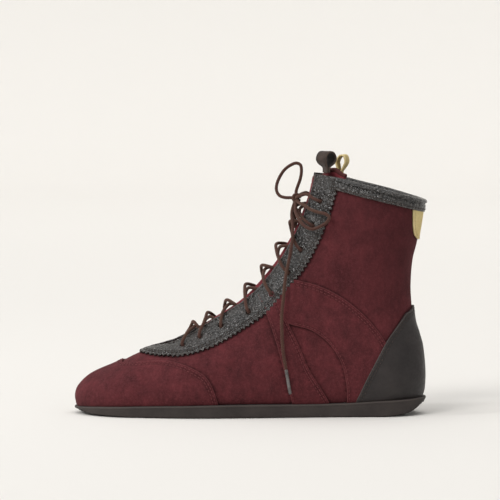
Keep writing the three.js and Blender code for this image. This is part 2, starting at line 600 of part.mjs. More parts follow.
add("outsole", outsole(), { color: 0x3a332f, roughness: 0.8 });
add("insole_board", insoleBoard(), { color: 0x8a7458, roughness: 0.9 });
add("footbed", footbed(), { color: 0x3a3030, roughness: 0.9 });
addUpper();
addLoop("pull_loop_lateral", LATERAL_LOOP, { color: 0x4a382e, roughness: 0.8 });
addLoop("pull_loop_medial", MEDIAL_LOOP, YELLOW);
add("lace_lateral", laceTube(laceHalf(-1)), LACE);
add("lace_medial", laceTube(laceHalf(1)), LACE);
const knot = add("lace_knot", new THREE.SphereGeometry(1, 10, 8).scale(...KNOT.radii), LACE);
knot.position.set(...KNOT.centre);
add("bow_loop_lateral", laceTube(BOW_LOOP_LATERAL), LACE);
add("bow_loop_medial", laceTube(BOW_LOOP_MEDIAL), LACE);
add("lace_tail_lateral", laceTube(TAIL_LATERAL, LACE_RADIUS, 2), LACE);
add("lace_tail_medial", laceTube(TAIL_MEDIAL, LACE_RADIUS, 2), LACE);
addAglet("aglet_lateral", TAIL_LATERAL);
addAglet("aglet_medial", TAIL_MEDIAL);

export default group;
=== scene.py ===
# The laced boxing boot's visible pieces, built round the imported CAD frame. Sizes are in millimetres up to
# the point where a mesh is made, and metres in Blender. The toe points to -X and the lateral side to -Y.
import math

import bpy
import numpy as np
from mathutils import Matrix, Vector
from mathutils.geometry import delaunay_2d_cdt
from mathutils.kdtree import KDTree

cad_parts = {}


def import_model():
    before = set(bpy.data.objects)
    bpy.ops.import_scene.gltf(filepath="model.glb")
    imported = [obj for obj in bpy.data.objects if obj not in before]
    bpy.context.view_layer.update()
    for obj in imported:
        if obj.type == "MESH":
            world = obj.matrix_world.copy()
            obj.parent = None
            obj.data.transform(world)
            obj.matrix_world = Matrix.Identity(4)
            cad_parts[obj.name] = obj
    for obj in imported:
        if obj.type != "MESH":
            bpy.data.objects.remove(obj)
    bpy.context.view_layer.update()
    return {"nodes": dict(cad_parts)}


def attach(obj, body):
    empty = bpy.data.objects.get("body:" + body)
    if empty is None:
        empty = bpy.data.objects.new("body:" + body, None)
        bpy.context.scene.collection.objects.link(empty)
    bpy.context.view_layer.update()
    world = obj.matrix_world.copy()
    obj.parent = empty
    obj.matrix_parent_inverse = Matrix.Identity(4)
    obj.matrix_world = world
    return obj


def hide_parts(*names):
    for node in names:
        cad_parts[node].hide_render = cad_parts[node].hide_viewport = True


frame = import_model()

MM = 0.001

# ---- driving dimensions, as in the CAD model -----------------------------------------------------------------
GAP = 0.3
LINING = 1.0
QUARTER = 1.4
OVERLAY = 1.3
LACE_RADIUS = 1.2
EYELET_RADIUS = 2.0
EYELET_COUNT = 9
EYELET_HALF_SPAN = 21
SKIN = 0.0
QUARTER_IN = SKIN - QUARTER
LINING_OUT = QUARTER_IN - GAP
LINING_IN = LINING_OUT - LINING
OVER_IN = SKIN + GAP
OVER_OUT = OVER_IN + OVERLAY

FRONT_PROFILE = [
    (3, -131), (8, -132.8), (13, -133.8), (18, -132.6), (23, -128.9), (28, -123.2), (33, -113.6), (38.5, -102),
    (46, -86), (55, -60.5), (64, -44), (74, -28), (87, -9), (98, 3), (114, 16), (130, 26.5), (145, 35.5),
    (158, 40.5), (170, 44), (196, 50), (400, 98)]
BACK_PROFILE = [
    (3, 124), (8, 128), (13.5, 130.2), (20, 132.3), (31, 133), (39, 132.7), (51, 130.9), (62, 127.5),
    (71, 124.8), (83, 123.6), (95, 123.4), (108, 123.6), (119, 124.6), (135, 128), (148, 130.5), (165, 133.2),
    (196, 137)]
LATERAL_WIDTH = [(-134, 34), (-90, 37.5), (-45, 42), (0, 39), (30, 35.5), (70, 31.5), (100, 30.5), (134, 30)]
MEDIAL_WIDTH = [
    (-134, 34), (-90, 39.5), (-60, 41), (-20, 36), (10, 31.5), (50, 30.5), (100, 30.5), (134, 30)]
SHAFT_WIDTH = [(0, 31), (50, 31), (85, 30), (120, 31), (165, 33), (196, 34)]
FEATHER_LINE = [
    (-136, 5.8), (-115, 7.6), (-66, 9.4), (0, 10.4), (40, 10.4), (73, 11), (96, 12.3), (136, 13.9)]
NOSE_HEIGHT = 13
NOSE_LENGTH = 46
TOE_SWING = 5
TOE_SWING_START = -20

TOE_CAP_EDGE = [
    (-96.3, 39), (-84, 40.5), (-70.8, 41.9), (-57.6, 41.5), (-44.4, 37.5), (-33.9, 31.6), (-28.6, 23.8),
    (-24.2, 10.7), (-23, 4)]
FACING_OUTER = [
    (66.8, 184.5), (66.8, 176.6), (63.8, 164.1), (58.2, 147.7), (54.5, 137.6), (46.2, 120.9), (39, 109.1),
    (29.2, 98.3), (20.7, 87.8), (13.9, 80.1), (-0.2, 69.6), (-11.6, 62.4), (-24.8, 55.2), (-38, 49.7),
    (-51.2, 46.4), (-64.4, 45.6), (-74, 45.8)]
STRAP_FRONT = [(5, 92), (12.6, 78), (18.5, 61.1), (24.4, 40.5), (30.2, 18), (31.9, 10.8), (33, 4)]
STRAP_BACK = [(19, 96), (26.4, 77), (36.6, 55.7), (44.9, 36.3), (54.2, 21.4), (60.1, 11.3), (63, 4)]
COUNTER_EDGE = [
    (126, 84.5), (118, 77.7), (111.4, 68), (103.1, 56.6), (96.3, 43.9), (89.5, 30.9), (79.9, 11.3), (76, 4)]
ANKLE_OUTER = [(36, 104), (52, 100), (70, 91), (86, 78), (98, 64), (104, 55)]
ANKLE_INNER = [(33, 70), (47, 66), (60, 56), (69, 42), (73, 26), (74, 4)]
COLLAR_TOP = [(50, 184.4), (66.6, 182.1), (86.2, 177.2), (106.7, 172.1), (134.8, 164.5), (142, 163)]
BINDING_HEIGHT = 6.8
BACK_PATCH = [(133, 133.5), (128.1, 134), (125, 137.5), (123.6, 144), (123.2, 152), (123.4, 162)]
THROAT_WIDTH = [(49, 0.5), (51, 5), (54.5, 9.5), (60, 11.6), (110, 12.2), (150, 12), (200, 13)]


# ---- curves --------------------------------------------------------------------------------------------------
def mix(a, b, t):
    return a + (b - a) * t


def smoothstep(low, high, v):
    t = np.clip((np.asarray(v, float) - low) / (high - low), 0, 1)
    return t * t * (3 - 2 * t)


def through(points):
    """A smooth curve y(x) through its points that never overshoots them."""
    xs, ys = np.array(points, float).T
    slopes = np.diff(ys) / np.diff(xs)
    a, b = slopes[:-1], slopes[1:]
    total = np.where(a + b == 0, 1, a + b)
    inner = np.where(a * b <= 0, 0, 2 * a * b / total)
    tangents = np.concatenate([[slopes[0]], inner, [slopes[-1]]])

    def curve(x):
        v = np.clip(x, xs[0], xs[-1])
        i = np.clip(np.searchsorted(xs, v, side="right") - 1, 0, len(xs) - 2)
        h = xs[i + 1] - xs[i]
        t = (v - xs[i]) / h
        t2, t3 = t * t, t * t * t
        return ((2 * t3 - 3 * t2 + 1) * ys[i] + (t3 - 2 * t2 + t) * h * tangents[i]
                + (-2 * t3 + 3 * t2) * ys[i + 1] + (t3 - t2) * h * tangents[i + 1])
    return curve


def spline(points, per_span=12):
    """A centripetal Catmull-Rom curve through 2-D or 3-D points."""
    p = np.array(points, float)
    p = np.vstack([2 * p[0] - p[1], p, 2 * p[-1] - p[-2]])
    out = []
    for i in range(1, len(p) - 2):
        p0, p1, p2, p3 = p[i - 1:i + 3]
        d = [max(np.linalg.norm(b - a), 1e-6) ** 0.5 for a, b in ((p0, p1), (p1, p2), (p2, p3))]
        t0, t1, t2, t3 = 0, d[0], d[0] + d[1], sum(d)
        t = np.linspace(t1, t2, per_span, endpoint=False)[:, None]
        a1 = (t1 - t) / (t1 - t0) * p0 + (t - t0) / (t1 - t0) * p1
        a2 = (t2 - t) / (t2 - t1) * p1 + (t - t1) / (t2 - t1) * p2
        a3 = (t3 - t) / (t3 - t2) * p2 + (t - t2) / (t3 - t2) * p3
        b1 = (t2 - t) / (t2 - t0) * a1 + (t - t0) / (t2 - t0) * a2
        b2 = (t3 - t) / (t3 - t1) * a2 + (t - t1) / (t3 - t1) * a3
        out.append((t2 - t) / (t2 - t1) * b1 + (t - t1) / (t2 - t1) * b2)
    return np.vstack([*out, p[-2:-1]])


def lengths(points):
    return np.concatenate([[0], np.cumsum(np.linalg.norm(np.diff(points, axis=0), axis=1))])


def resample(points, step, by=None):
    """The polyline again at even steps along itself, or along another polyline with the same points."""
    points = np.asarray(points, float)
    along = lengths(points if by is None else by)
    count = max(2, int(round(along[-1] / step)) + 1)
    at = np.linspace(0, along[-1], count)
    return np.stack([np.interp(at, along, points[:, k]) for k in range(points.shape[1])], axis=1)


# ---- the boot's skin -----------------------------------------------------------------------------------------
front_x = through(FRONT_PROFILE)
back_x = through(BACK_PROFILE)
lateral_width = through(LATERAL_WIDTH)
medial_width = through(MEDIAL_WIDTH)
shaft_width = through(SHAFT_WIDTH)
feather_z = through(FEATHER_LINE)
collar_z = through(COLLAR_TOP)
throat_width = through(THROAT_WIDTH)
RIDGE_HEIGHTS = np.linspace(NOSE_HEIGHT, 400, 8000)
RIDGE_XS = front_x(RIDGE_HEIGHTS)


def ridge_z(x):
    return np.interp(x, RIDGE_XS, RIDGE_HEIGHTS)


def round_end(t, power=2.0):
    return np.sqrt(np.maximum(0, 1 - (1 - np.clip(t, 0, 1)) ** power))


def middle_y(x):
    return TOE_SWING * np.clip((TOE_SWING_START - x) / 114, 0, 1) ** 2


def half_width(x, z, side):
    """Half the boot's width at a side-view point, on the lateral (side -1) or medial (side 1) half."""
    fx, bx = front_x(z), back_x(z)
    depth = bx - fx
    foot = np.where(side < 0, lateral_width(x), medial_width(x))
    nose_x = np.where(z < NOSE_HEIGHT, fx, front_x(NOSE_HEIGHT))
    nose = round_end((x - nose_x) / NOSE_LENGTH)
    width = mix(foot * nose, shaft_width(z), smoothstep(40, 105, z))
    rise = np.clip((z - feather_z(x)) / (ridge_z(x) - feather_z(x)), 0, 1)
    over_vamp = np.sqrt(np.maximum(0, 1 - rise ** 2.2))
    around_shaft = round_end((x - fx) / np.minimum(0.6 * depth, 66), 2.2)
    front = np.where(z < NOSE_HEIGHT, 1, mix(over_vamp, around_shaft, smoothstep(55, 125, z)))
    back_length = mix(34, 0.42 * depth, smoothstep(40, 110, z))
    back = round_end((bx - x) / back_length, 2.2)
    tuck = 1 - 0.07 * np.clip(1 - (z - feather_z(x)) / 16, 0, 1) ** 2
    return width * front * back * tuck


def skin(angle, z):
    """Angle 0 is the front ridge, pi / 2 the lateral side and pi the back."""
    angle, z = np.broadcast_arrays(np.asarray(angle, float), np.asarray(z, float))
    side = np.where(np.sin(angle) > 0, -1.0, 1.0)
    x = mix(front_x(z), back_x(z), (1 - np.cos(angle)) / 2)
    w = np.where(np.abs(np.sin(angle)) < 1e-9, 0, half_width(x, z, side))
    return np.stack([x, middle_y(x) + side * w, z], axis=-1)


def normals(angle, z):
    around = skin(angle + 0.012, z) - skin(angle - 0.012, z)
    up = skin(angle, z + 0.6) - skin(angle, z - 0.6)
    n = np.cross(around, up)
    return n / np.maximum(np.linalg.norm(n, axis=-1, keepdims=True), 1e-9)


# Gentle waves that every layer shares, so that the leather looks soft and lived in.
WAVES = np.random.default_rng(11).normal(size=(26, 3))
WAVE_PHASES = np.random.default_rng(12).uniform(0, 2 * np.pi, 26)
WAVE_LENGTHS = np.concatenate([np.full(10, 46.0), np.full(16, 19.0)])
WAVE_HEIGHTS = np.concatenate([np.full(10, 0.11), np.full(16, 0.035)])


def softness(p):
    d = WAVES / np.linalg.norm(WAVES, axis=1, keepdims=True)
    phase = p @ (d.T * (2 * np.pi / WAVE_LENGTHS)) + WAVE_PHASES
    return (np.sin(phase) * WAVE_HEIGHTS).sum(axis=-1)


# Creases across the vamp where the foot bends: (x at the ridge, depth).
CREASES = [(-66, 0.25), (-55, 0.4), (-43, 0.3), (2, 0.35), (12, 0.3)]


def creasing(p):
    total = np.zeros(p.shape[:-1])
    for x, depth in CREASES:
        lean = 0.55 * (p[..., 2] - 60) if x > -20 else -0.35 * (p[..., 2] - 45)
        bend = 2.5 * np.sin(p[..., 1] / 9 + x)
        d = (p[..., 0] - x - lean - bend) / 2.6
        total += depth * (np.exp(-d * d) - 0.5 * np.exp(-(d / 2.4) ** 2))
    low = smoothstep(18, 34, p[..., 2]) * (1 - smoothstep(92, 120, p[..., 2]))
    return -total * low * 1.1


def surface(angle, z, offset):
    p = skin(angle, z)
    n = normals(angle, z)
    return p + n * (np.asarray(offset, float) + softness(p) + creasing(p))[..., None]


# ---- the flat sheet that panels are cut on -------------------------------------------------------------------
SHEET_SCALE = 70.0
SHEET_Z = np.linspace(2, 205, 1200)
SHEET_ARC = np.concatenate([[0], np.cumsum(np.hypot(np.diff(SHEET_Z), np.diff(front_x(SHEET_Z))))])


def to_sheet(az):
    return np.stack([az[..., 0] * SHEET_SCALE, np.interp(az[..., 1], SHEET_Z, SHEET_ARC)], axis=-1)


def from_sheet(uv):
    return np.stack([uv[..., 0] / SHEET_SCALE, np.interp(uv[..., 1], SHEET_ARC, SHEET_Z)], axis=-1)


def place(az, offset=0.0):
    return surface(az[..., 0], az[..., 1], offset)


def on_side(points):
    """Side-view [x, z] points as [angle, z] on the lateral half."""
    x, z = np.asarray(points, float).T
    share = np.clip((x - front_x(z)) / (back_x(z) - front_x(z)), 0, 1)
    return np.stack([np.arccos(1 - 2 * share), z], axis=1)


def mirrored(az, about=0.0):
    out = np.array(az, float)[::-1].copy()
    out[:, 0] = 2 * about - out[:, 0]
    return out


def nudged(az, vectors):
    """Points on the skin moved along it by 3-D vectors."""
    h = np.array([0.004, 0.2])
    da = (skin(az[:, 0] + h[0], az[:, 1]) - skin(az[:, 0] - h[0], az[:, 1])) / (2 * h[0])
    dz = (skin(az[:, 0], az[:, 1] + h[1]) - skin(az[:, 0], az[:, 1] - h[1])) / (2 * h[1])
    aa, ab, bb = (da * da).sum(1), (da * dz).sum(1), (dz * dz).sum(1)
    ra, rb = (da * vectors).sum(1), (dz * vectors).sum(1)
    det = np.maximum(aa * bb - ab * ab, 1e-6)
    return az + np.stack([(bb * ra - ab * rb) / det, (aa * rb - ab * ra) / det], axis=1)


def moved(az, distance):
    """A curve moved sideways over the skin, to its left for a positive distance."""
    az = np.asarray(az, float)
    tangent = np.gradient(skin(az[:, 0], az[:, 1]), axis=0)
    tangent /= np.maximum(np.linalg.norm(tangent, axis=1, keepdims=True), 1e-9)
    left = np.cross(normals(az[:, 0], az[:, 1]), tangent) * np.asarray(distance, float).reshape(-1, 1)
    return nudged(az, left)


def even(az, step):
    """A curve again at even steps over the skin."""
    return resample(az, step, by=skin(az[:, 0], az[:, 1]))


def inside(points, polygon):
    x, y = points[:, 0], points[:, 1]
    result = np.zeros(len(points), bool)
    for (x0, y0), (x1, y1) in zip(polygon, np.roll(polygon, -1, axis=0)):
        if y0 != y1:
            crossing = (y0 > y) != (y1 > y)
            result ^= crossing & (x < (x1 - x0) * (y - y0) / (y1 - y0) + x0)
    return result


def nearest(points, targets):
    """How far each 3-D point is from the nearest target point."""
    tree = KDTree(len(targets))
    for i, t in enumerate(targets):
        tree.insert(t, i)
    tree.balance()
    return np.array([tree.find(p)[2] for p in points])


# ---- meshes --------------------------------------------------------------------------------------------------
def make(name, points, faces, material, node=None, body="boot", shade=None, smooth=True):
    mesh = bpy.data.meshes.new(name)
    mesh.from_pydata((np.asarray(points) * MM).tolist(), [], [list(map(int, f)) for f in faces])
    mesh.validate()
    mesh.materials.append(material)
    if shade is not None:
        layer = mesh.attributes.new("shade", "FLOAT", "POINT")
        layer.data.foreach_set("value", np.asarray(shade, np.float32))
    if smooth:
        mesh.shade_smooth()
    obj = bpy.data.objects.new(name, mesh)
    bpy.context.scene.collection.objects.link(obj)
    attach(obj, body)
    if node:
        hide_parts(*([node] if isinstance(node, str) else node))
    return obj


def refined(outline, step):
    """A closed outline with its corners kept, and no side much longer than a step."""
    kept = [outline[0]]
    for point in outline[1:]:
        last = skin(*kept[-1])
        if np.linalg.norm(skin(*point) - last) > 0.3 * step:
            kept.append(point)
    if np.linalg.norm(skin(*kept[-1]) - skin(*kept[0])) < 0.3 * step:
        kept.pop()
    out = []
    for a, b in zip(kept, kept[1:] + kept[:1]):
        parts = max(1, int(round(np.linalg.norm(skin(*b) - skin(*a)) / step)))
        out += [mix(np.asarray(a), np.asarray(b), i / parts) for i in range(parts)]
    return np.array(out)


PANEL_STEP = 2.3
RIM_STEP = 1.3


def panel(name, outline, low, high, material, node=None, holes=(), rows=(), rim=0.55, grid=1.0,
          shadows=(), body="boot"):
    """A leather piece: an outline on the skin, as thick as from low to high, with a rounded edge, punched
    holes and sunk stitch rows. Low and high are offsets from the skin, or functions of [angle, z] points.
    Along the shadow curves, where other pieces' edges lie on it, a painted shadow darkens its colour."""
    outline = refined(outline, RIM_STEP * (1 if grid < 1.4 else 2))
    sheet = to_sheet(outline)
    area = np.sum(sheet[:, 0] * np.roll(sheet[:, 1], -1) - np.roll(sheet[:, 0], -1) * sheet[:, 1])
    if area < 0:
        outline, sheet = outline[::-1], sheet[::-1]
    hole_rings = [np.asarray(h)[::-1] for h in holes]
    step = PANEL_STEP * grid
    (u0, v0), (u1, v1) = sheet.min(axis=0), sheet.max(axis=0)
    us = np.arange(u0 + step / 2, u1, step)
    vs = np.arange(v0 + step / 2, v1, step)
    gu, gv = np.meshgrid(us, vs)
    gu = gu + np.where(np.arange(len(vs)) % 2, step / 2, 0)[:, None]
    inner = np.stack([gu.ravel(), gv.ravel()], axis=1)
    inner = inner[inside(inner, sheet)]
    rim3 = skin(outline[:, 0], outline[:, 1])
    keep = from_sheet(inner)
    loop = np.vstack([outline, outline[:1]])
    extra = [moved(loop, d)[:-1] for d in ((0.3, 0.75) if rim > 0.3 else (0.6,))]
    for row in rows:
        extra += [moved(row, d) for d in (-0.7, 0, 0.7)]
    for ring in hole_rings:
        closed = np.vstack([ring, ring[:1]])
        extra.append(moved(closed, 0.35)[:-1])
    if len(keep):
        p = skin(keep[:, 0], keep[:, 1])
        near = nearest(p, rim3)
        keep = keep[near > 1.25 + 0.2 * RIM_STEP]
    for curve in extra:
        curve = curve[inside(to_sheet(curve), sheet)]
        if len(curve) and len(keep):
            p = skin(keep[:, 0], keep[:, 1])
            keep = keep[nearest(p, skin(curve[:, 0], curve[:, 1])) > 0.6 * min(step, 1.6)]
    extra = [c[inside(to_sheet(c), sheet)] for c in extra]
    loops = [sheet] + [to_sheet(r) for r in hole_rings]
    flat = np.vstack(loops + [to_sheet(c) for c in extra if len(c)] + [to_sheet(keep)])
    edges = []
    start = 0
    for ring in loops:
        edges += [(start + i, start + (i + 1) % len(ring)) for i in range(len(ring))]
        start += len(ring)
    verts, _, faces, _, _, _ = delaunay_2d_cdt([Vector(p) for p in flat], edges, [], 0, 1e-4)
    uv = np.array([tuple(v) for v in verts])
    faces = np.array([f for f in faces if len(f) == 3])
    centre = uv[faces].mean(axis=1)
    ok = inside(centre, sheet)
    for ring in loops[1:]:
        ok &= ~inside(centre, ring)
    faces = faces[ok]
    used, faces = np.unique(faces, return_inverse=True)
    faces = faces.reshape(-1, 3)
    uv = uv[used]
    a, b, c = uv[faces[:, 0]], uv[faces[:, 1]], uv[faces[:, 2]]
    flip = (b[:, 0] - a[:, 0]) * (c[:, 1] - a[:, 1]) - (b[:, 1] - a[:, 1]) * (c[:, 0] - a[:, 0]) < 0
    faces[flip] = faces[flip][:, ::-1]
    az = from_sheet(uv)
    base = skin(az[:, 0], az[:, 1])
    rings3 = [skin(r[:, 0], r[:, 1]) for r in [outline, *hole_rings]]
    edge = nearest(base, np.vstack([resample(np.vstack([r, r[:1]]), 0.5) for r in rings3]))
    top = high(az) if callable(high) else np.full(len(az), float(high))
    bottom = low(az) if callable(low) else np.full(len(az), float(low))
    t = np.clip(edge / rim, 0, 1)
    top = top - rim * (1 - np.sqrt(np.maximum(0, 1 - (1 - t) ** 2)))
    shade = np.exp(-edge / 0.8)
    for row in rows:
        path = skin(row[:, 0], row[:, 1])
        d = nearest(base, resample(path, 0.6))
        top -= 0.20 * np.exp(-(d / 0.6) ** 2)
        top += 0.09 * np.exp(-((d - 1.4) / 0.9) ** 2)
        # Painted shade: the colour is darkened along each sunk stitch row.
        shade -= 0.85 * np.exp(-(d / 0.7) ** 2)
    # Painted shadow: the colour is darkened along the edges of the pieces that lie on this one.
    for curve in shadows:
        d = nearest(base, resample(skin(curve[:, 0], curve[:, 1]), 0.6))
        shade -= 0.9 * np.exp(-(d / 1.2) ** 2)
    outer = place(az, top)
    inner3 = place(az, bottom)
    count = len(az)
    sides = {(f[i], f[(i + 1) % 3]): True for f in faces for i in range(3)}
    border = [e for e in sides if (e[1], e[0]) not in sides]
    walls = [(e[1], e[0], e[0] + count, e[1] + count) for e in border]
    # Positive angles run anticlockwise seen from above, so the sheet's anticlockwise side faces out.
    all_faces = [tuple(f) for f in faces] + [tuple(f[::-1] + count) for f in faces] + walls
    return make(name, np.vstack([outer, inner3]), all_faces, material, node, body,
                shade=np.concatenate([shade, np.zeros(count)]))


THREAD_RADIUS = 0.34
STITCH_LENGTH = 2.5
STITCH_PITCH = 3.1


def capsules(frames, length, radius, sides=6):
    """Many stitches: each frame is (middle, along, up)."""
    caps = np.array([(-1, 0.25), (-0.82, 0.8), (-0.4, 1), (0.4, 1), (0.82, 0.8), (1, 0.25)])
    ring = 2 * np.pi * np.arange(sides) / sides
    points, faces = [], []
    for middle, along, up in frames:
        across = np.cross(along, up)
        start = len(points) * len(caps) * sides
        rows = []
        for s, r in caps:
            bow = -0.45 * radius * s * s
            centre = middle + along * (s * length / 2) + up * bow
            rows.append(centre + radius * r * (np.cos(ring)[:, None] * across + np.sin(ring)[:, None] * up))
        points.append(np.vstack(rows))
        for j in range(len(caps) - 1):
            for i in range(sides):
                a, b = start + j * sides + i, start + j * sides + (i + 1) % sides
                faces.append((a, b, b + sides, a + sides))
        faces.append(tuple(start + i for i in range(sides))[::-1])
        faces.append(tuple(start + (len(caps) - 1) * sides + i for i in range(sides)))
    return np.vstack(points), faces


def stitches(name, rows, offset, material, pitch=STITCH_PITCH, body="boot"):
    frames = []
    for row in rows:
        row = even(row, pitch)
        if len(row) < 3:
            continue
        p = place(row, offset)
        n = normals(row[:, 0], row[:, 1])
        middles = (p[:-1] + p[1:]) / 2
        ups = n[:-1] + n[1:]
        ups /= np.linalg.norm(ups, axis=1, keepdims=True)
        along = p[1:] - p[:-1]
        along /= np.linalg.norm(along, axis=1, keepdims=True)
        ups -= (ups * along).sum(1, keepdims=True) * along
        ups /= np.linalg.norm(ups, axis=1, keepdims=True)
        frames += list(zip(middles, along, ups))
    points, faces = capsules(frames, pitch * STITCH_LENGTH / STITCH_PITCH, THREAD_RADIUS)
    return make(name, points, faces, material, None, body)


# ---- materials -----------------------------------------------------------------------------------------------
# Blender's wave texture makes this many bands in one unit at scale 1.
WAVE_BANDS = 20


class Look:
    """A Principled material whose textures are set in millimetres."""

    def __init__(self, name, roughness, specular, sheen=0.0, sheen_tint=(1, 1, 1)):
        self.material = bpy.data.materials.new(name)
        self.material.use_nodes = True
        self.tree = self.material.node_tree
        self.shader = self.tree.nodes["Principled BSDF"]
        self.shader.inputs["Roughness"].default_value = roughness
        self.shader.inputs["Sheen Weight"].default_value = sheen
        self.shader.inputs["Sheen Roughness"].default_value = 0.45
        self.shader.inputs["Sheen Tint"].default_value = (*sheen_tint, 1)
        self.shader.inputs["Specular IOR Level"].default_value = specular
        self.place = self.node("ShaderNodeTexCoord").outputs["Object"]

    def node(self, kind, **values):
        node = self.tree.nodes.new(kind)
        for key, value in values.items():
            setattr(node, key, value)
        return node

    def link(self, source, target):
        self.tree.links.new(source, target)

    def put(self, socket, value):
        if isinstance(value, bpy.types.NodeSocket):
            self.link(value, socket)
        else:
            socket.default_value = value

    def stretched(self, scale):
        node = self.node("ShaderNodeMapping")
        self.link(self.place, node.inputs["Vector"])
        node.inputs["Scale"].default_value = scale
        return node.outputs["Vector"]

    def axes(self):
        node = self.node("ShaderNodeSeparateXYZ")
        self.link(self.place, node.inputs[0])
        return node.outputs["X"], node.outputs["Y"], node.outputs["Z"]

    def noise(self, size, detail=3.0, roughness=0.55, vector=None, distortion=0.0):
        node = self.node("ShaderNodeTexNoise")
        self.link(vector or self.place, node.inputs["Vector"])
        node.inputs["Scale"].default_value = 1000 / size
        node.inputs["Detail"].default_value = detail
        node.inputs["Roughness"].default_value = roughness
        node.inputs["Distortion"].default_value = distortion
        return node.outputs["Fac"]

    def cells(self, size):
        node = self.node("ShaderNodeTexVoronoi", feature="F1")
        self.link(self.place, node.inputs["Vector"])
        node.inputs["Scale"].default_value = 1000 / size
        return node.outputs["Distance"]

    def wave(self, size, axis):
        node = self.node("ShaderNodeTexWave", bands_direction=axis)
        self.link(self.place, node.inputs["Vector"])
        node.inputs["Scale"].default_value = 1000 / size / WAVE_BANDS
        node.inputs["Distortion"].default_value = 0.0
        return node.outputs["Fac"]

    def attribute(self, name):
        return self.node("ShaderNodeAttribute", attribute_name=name).outputs["Fac"]

    def math(self, operation, a, b=0.0, clamp=False):
        node = self.node("ShaderNodeMath", operation=operation, use_clamp=clamp)
        self.put(node.inputs[0], a)
        self.put(node.inputs[1], b)
        return node.outputs[0]

    def range(self, value, low, high, to_low=0.0, to_high=1.0):
        node = self.node("ShaderNodeMapRange")
        self.put(node.inputs["Value"], value)
        node.inputs["From Min"].default_value = low
        node.inputs["From Max"].default_value = high
        node.inputs["To Min"].default_value = to_low
        node.inputs["To Max"].default_value = to_high
        return node.outputs["Result"]

    def blend(self, share, a, b):
        node = self.node("ShaderNodeMix", data_type="RGBA")
        self.put(node.inputs["Factor"], share)
        colours = [s for s in node.inputs if s.type == "RGBA"]
        for socket, value in zip(colours, (a, b)):
            self.put(socket, value if isinstance(value, bpy.types.NodeSocket) else (*value, 1))
        return [s for s in node.outputs if s.type == "RGBA"][0]

    def colour(self, value):
        self.put(self.shader.inputs["Base Color"],
                 value if isinstance(value, bpy.types.NodeSocket) else (*value, 1))

    def rough(self, value):
        self.put(self.shader.inputs["Roughness"], value)

    def bump(self, *layers):
        """Each layer is (height, depth in mm)."""
        normal = None
        for height, depth in layers:
            node = self.node("ShaderNodeBump")
            node.inputs["Distance"].default_value = depth * MM
            node.inputs["Strength"].default_value = 1.0
            self.link(height, node.inputs["Height"])
            if normal is not None:
                self.link(normal, node.inputs["Normal"])
            normal = node.outputs["Normal"]
        self.link(normal, self.shader.inputs["Normal"])


def suede(name, dark, middle, light, worn, painted_heel_shade=False):
    look = Look(name, roughness=0.93, sheen=0.12, sheen_tint=light, specular=0.2)
    brushed = look.noise(17, 3.5, 0.6, distortion=0.6)
    strokes = look.noise(5.5, 3, 0.6, vector=look.stretched((1, 1, 0.45)))
    fibre = look.noise(0.55, 3, 0.75)
    nap = look.math("ADD", look.math("MULTIPLY", brushed, 0.62), look.math("MULTIPLY", strokes, 0.38))
    tone = look.range(nap, 0.36, 0.64)
    base = look.blend(tone, dark, middle)
    base = look.blend(look.range(fibre, 0.45, 0.78, 0, 0.42), base, light)
    fleck = look.noise(1.9, 3, 0.7)
    base = look.blend(look.range(fleck, 0.50, 0.72, 0, 0.26), base, light)
    base = look.blend(look.range(fleck, 0.48, 0.30, 0, 0.30), base, dark)
    if painted_heel_shade:
        # Painted shade: the shaft's colour is darkened towards the heel and up the shaft, where less light falls.
        x, _, z = look.axes()
        back = look.math("MULTIPLY", look.range(x, 0.035, 0.115), look.range(z, 0.05, 0.12))
        base = look.blend(look.math("MULTIPLY", back, 0.5), base, dark)
    shade = look.attribute("shade")
    base = look.blend(look.range(shade, 0.25, 1.0, 0, 0.38), base, worn)
    # Painted shade: where the shade value is low, along stitch rows and under other pieces' edges, the colour is
    # darkened.
    base = look.blend(look.range(shade, -0.15, -0.8, 0, 0.62), base, tuple(0.42 * c for c in dark))
    look.colour(base)
    look.bump((fibre, 0.16), (strokes, 0.28))
    return look.material


def grained_leather():
    look = Look("grained_leather", roughness=0.26, specular=0.75)
    dome = look.range(look.cells(2.3), 0.0, 0.75, 1, 0)
    fine = look.range(look.cells(0.9), 0.0, 0.75, 1, 0)
    crease = look.noise(3.6, 3, 0.6, distortion=1.5)
    cloud = look.noise(11, 3, 0.5)
    # Painted shade and light: each grain pebble is coloured lighter on top and darker in the crease round it.
    base = look.blend(dome, (0.0030, 0.0024, 0.0023), (0.0130, 0.0102, 0.0094))
    base = look.blend(look.range(cloud, 0.4, 0.68, 0, 0.5), base, (0.018, 0.0142, 0.0128))
    # Painted highlights: pale speckles in patches stand in for glints of light on the grain.
    painted_glint = look.range(look.cells(1.5), 0.12, 0.42, 1, 0)
    patch = look.range(look.noise(7.0, 2, 0.5), 0.36, 0.60, 0.10, 0.85)
    base = look.blend(look.math("MULTIPLY", painted_glint, patch), base, (0.160, 0.144, 0.137))
    shade = look.attribute("shade")
    base = look.blend(look.range(shade, 0.3, 1.0, 0, 0.7), base, (0.050, 0.034, 0.028))
    # Painted shade: darkened along stitch rows, under other pieces' edges, and in the binding's groove and inside.
    base = look.blend(look.range(shade, -0.15, -0.8, 0, 0.85), base, (0.0022, 0.0018, 0.0018))
    look.colour(base)
    look.rough(look.range(cloud, 0.3, 0.7, 0.20, 0.32))
    look.bump((crease, 1.3), (dome, 0.9), (fine, 0.12))
    return look.material


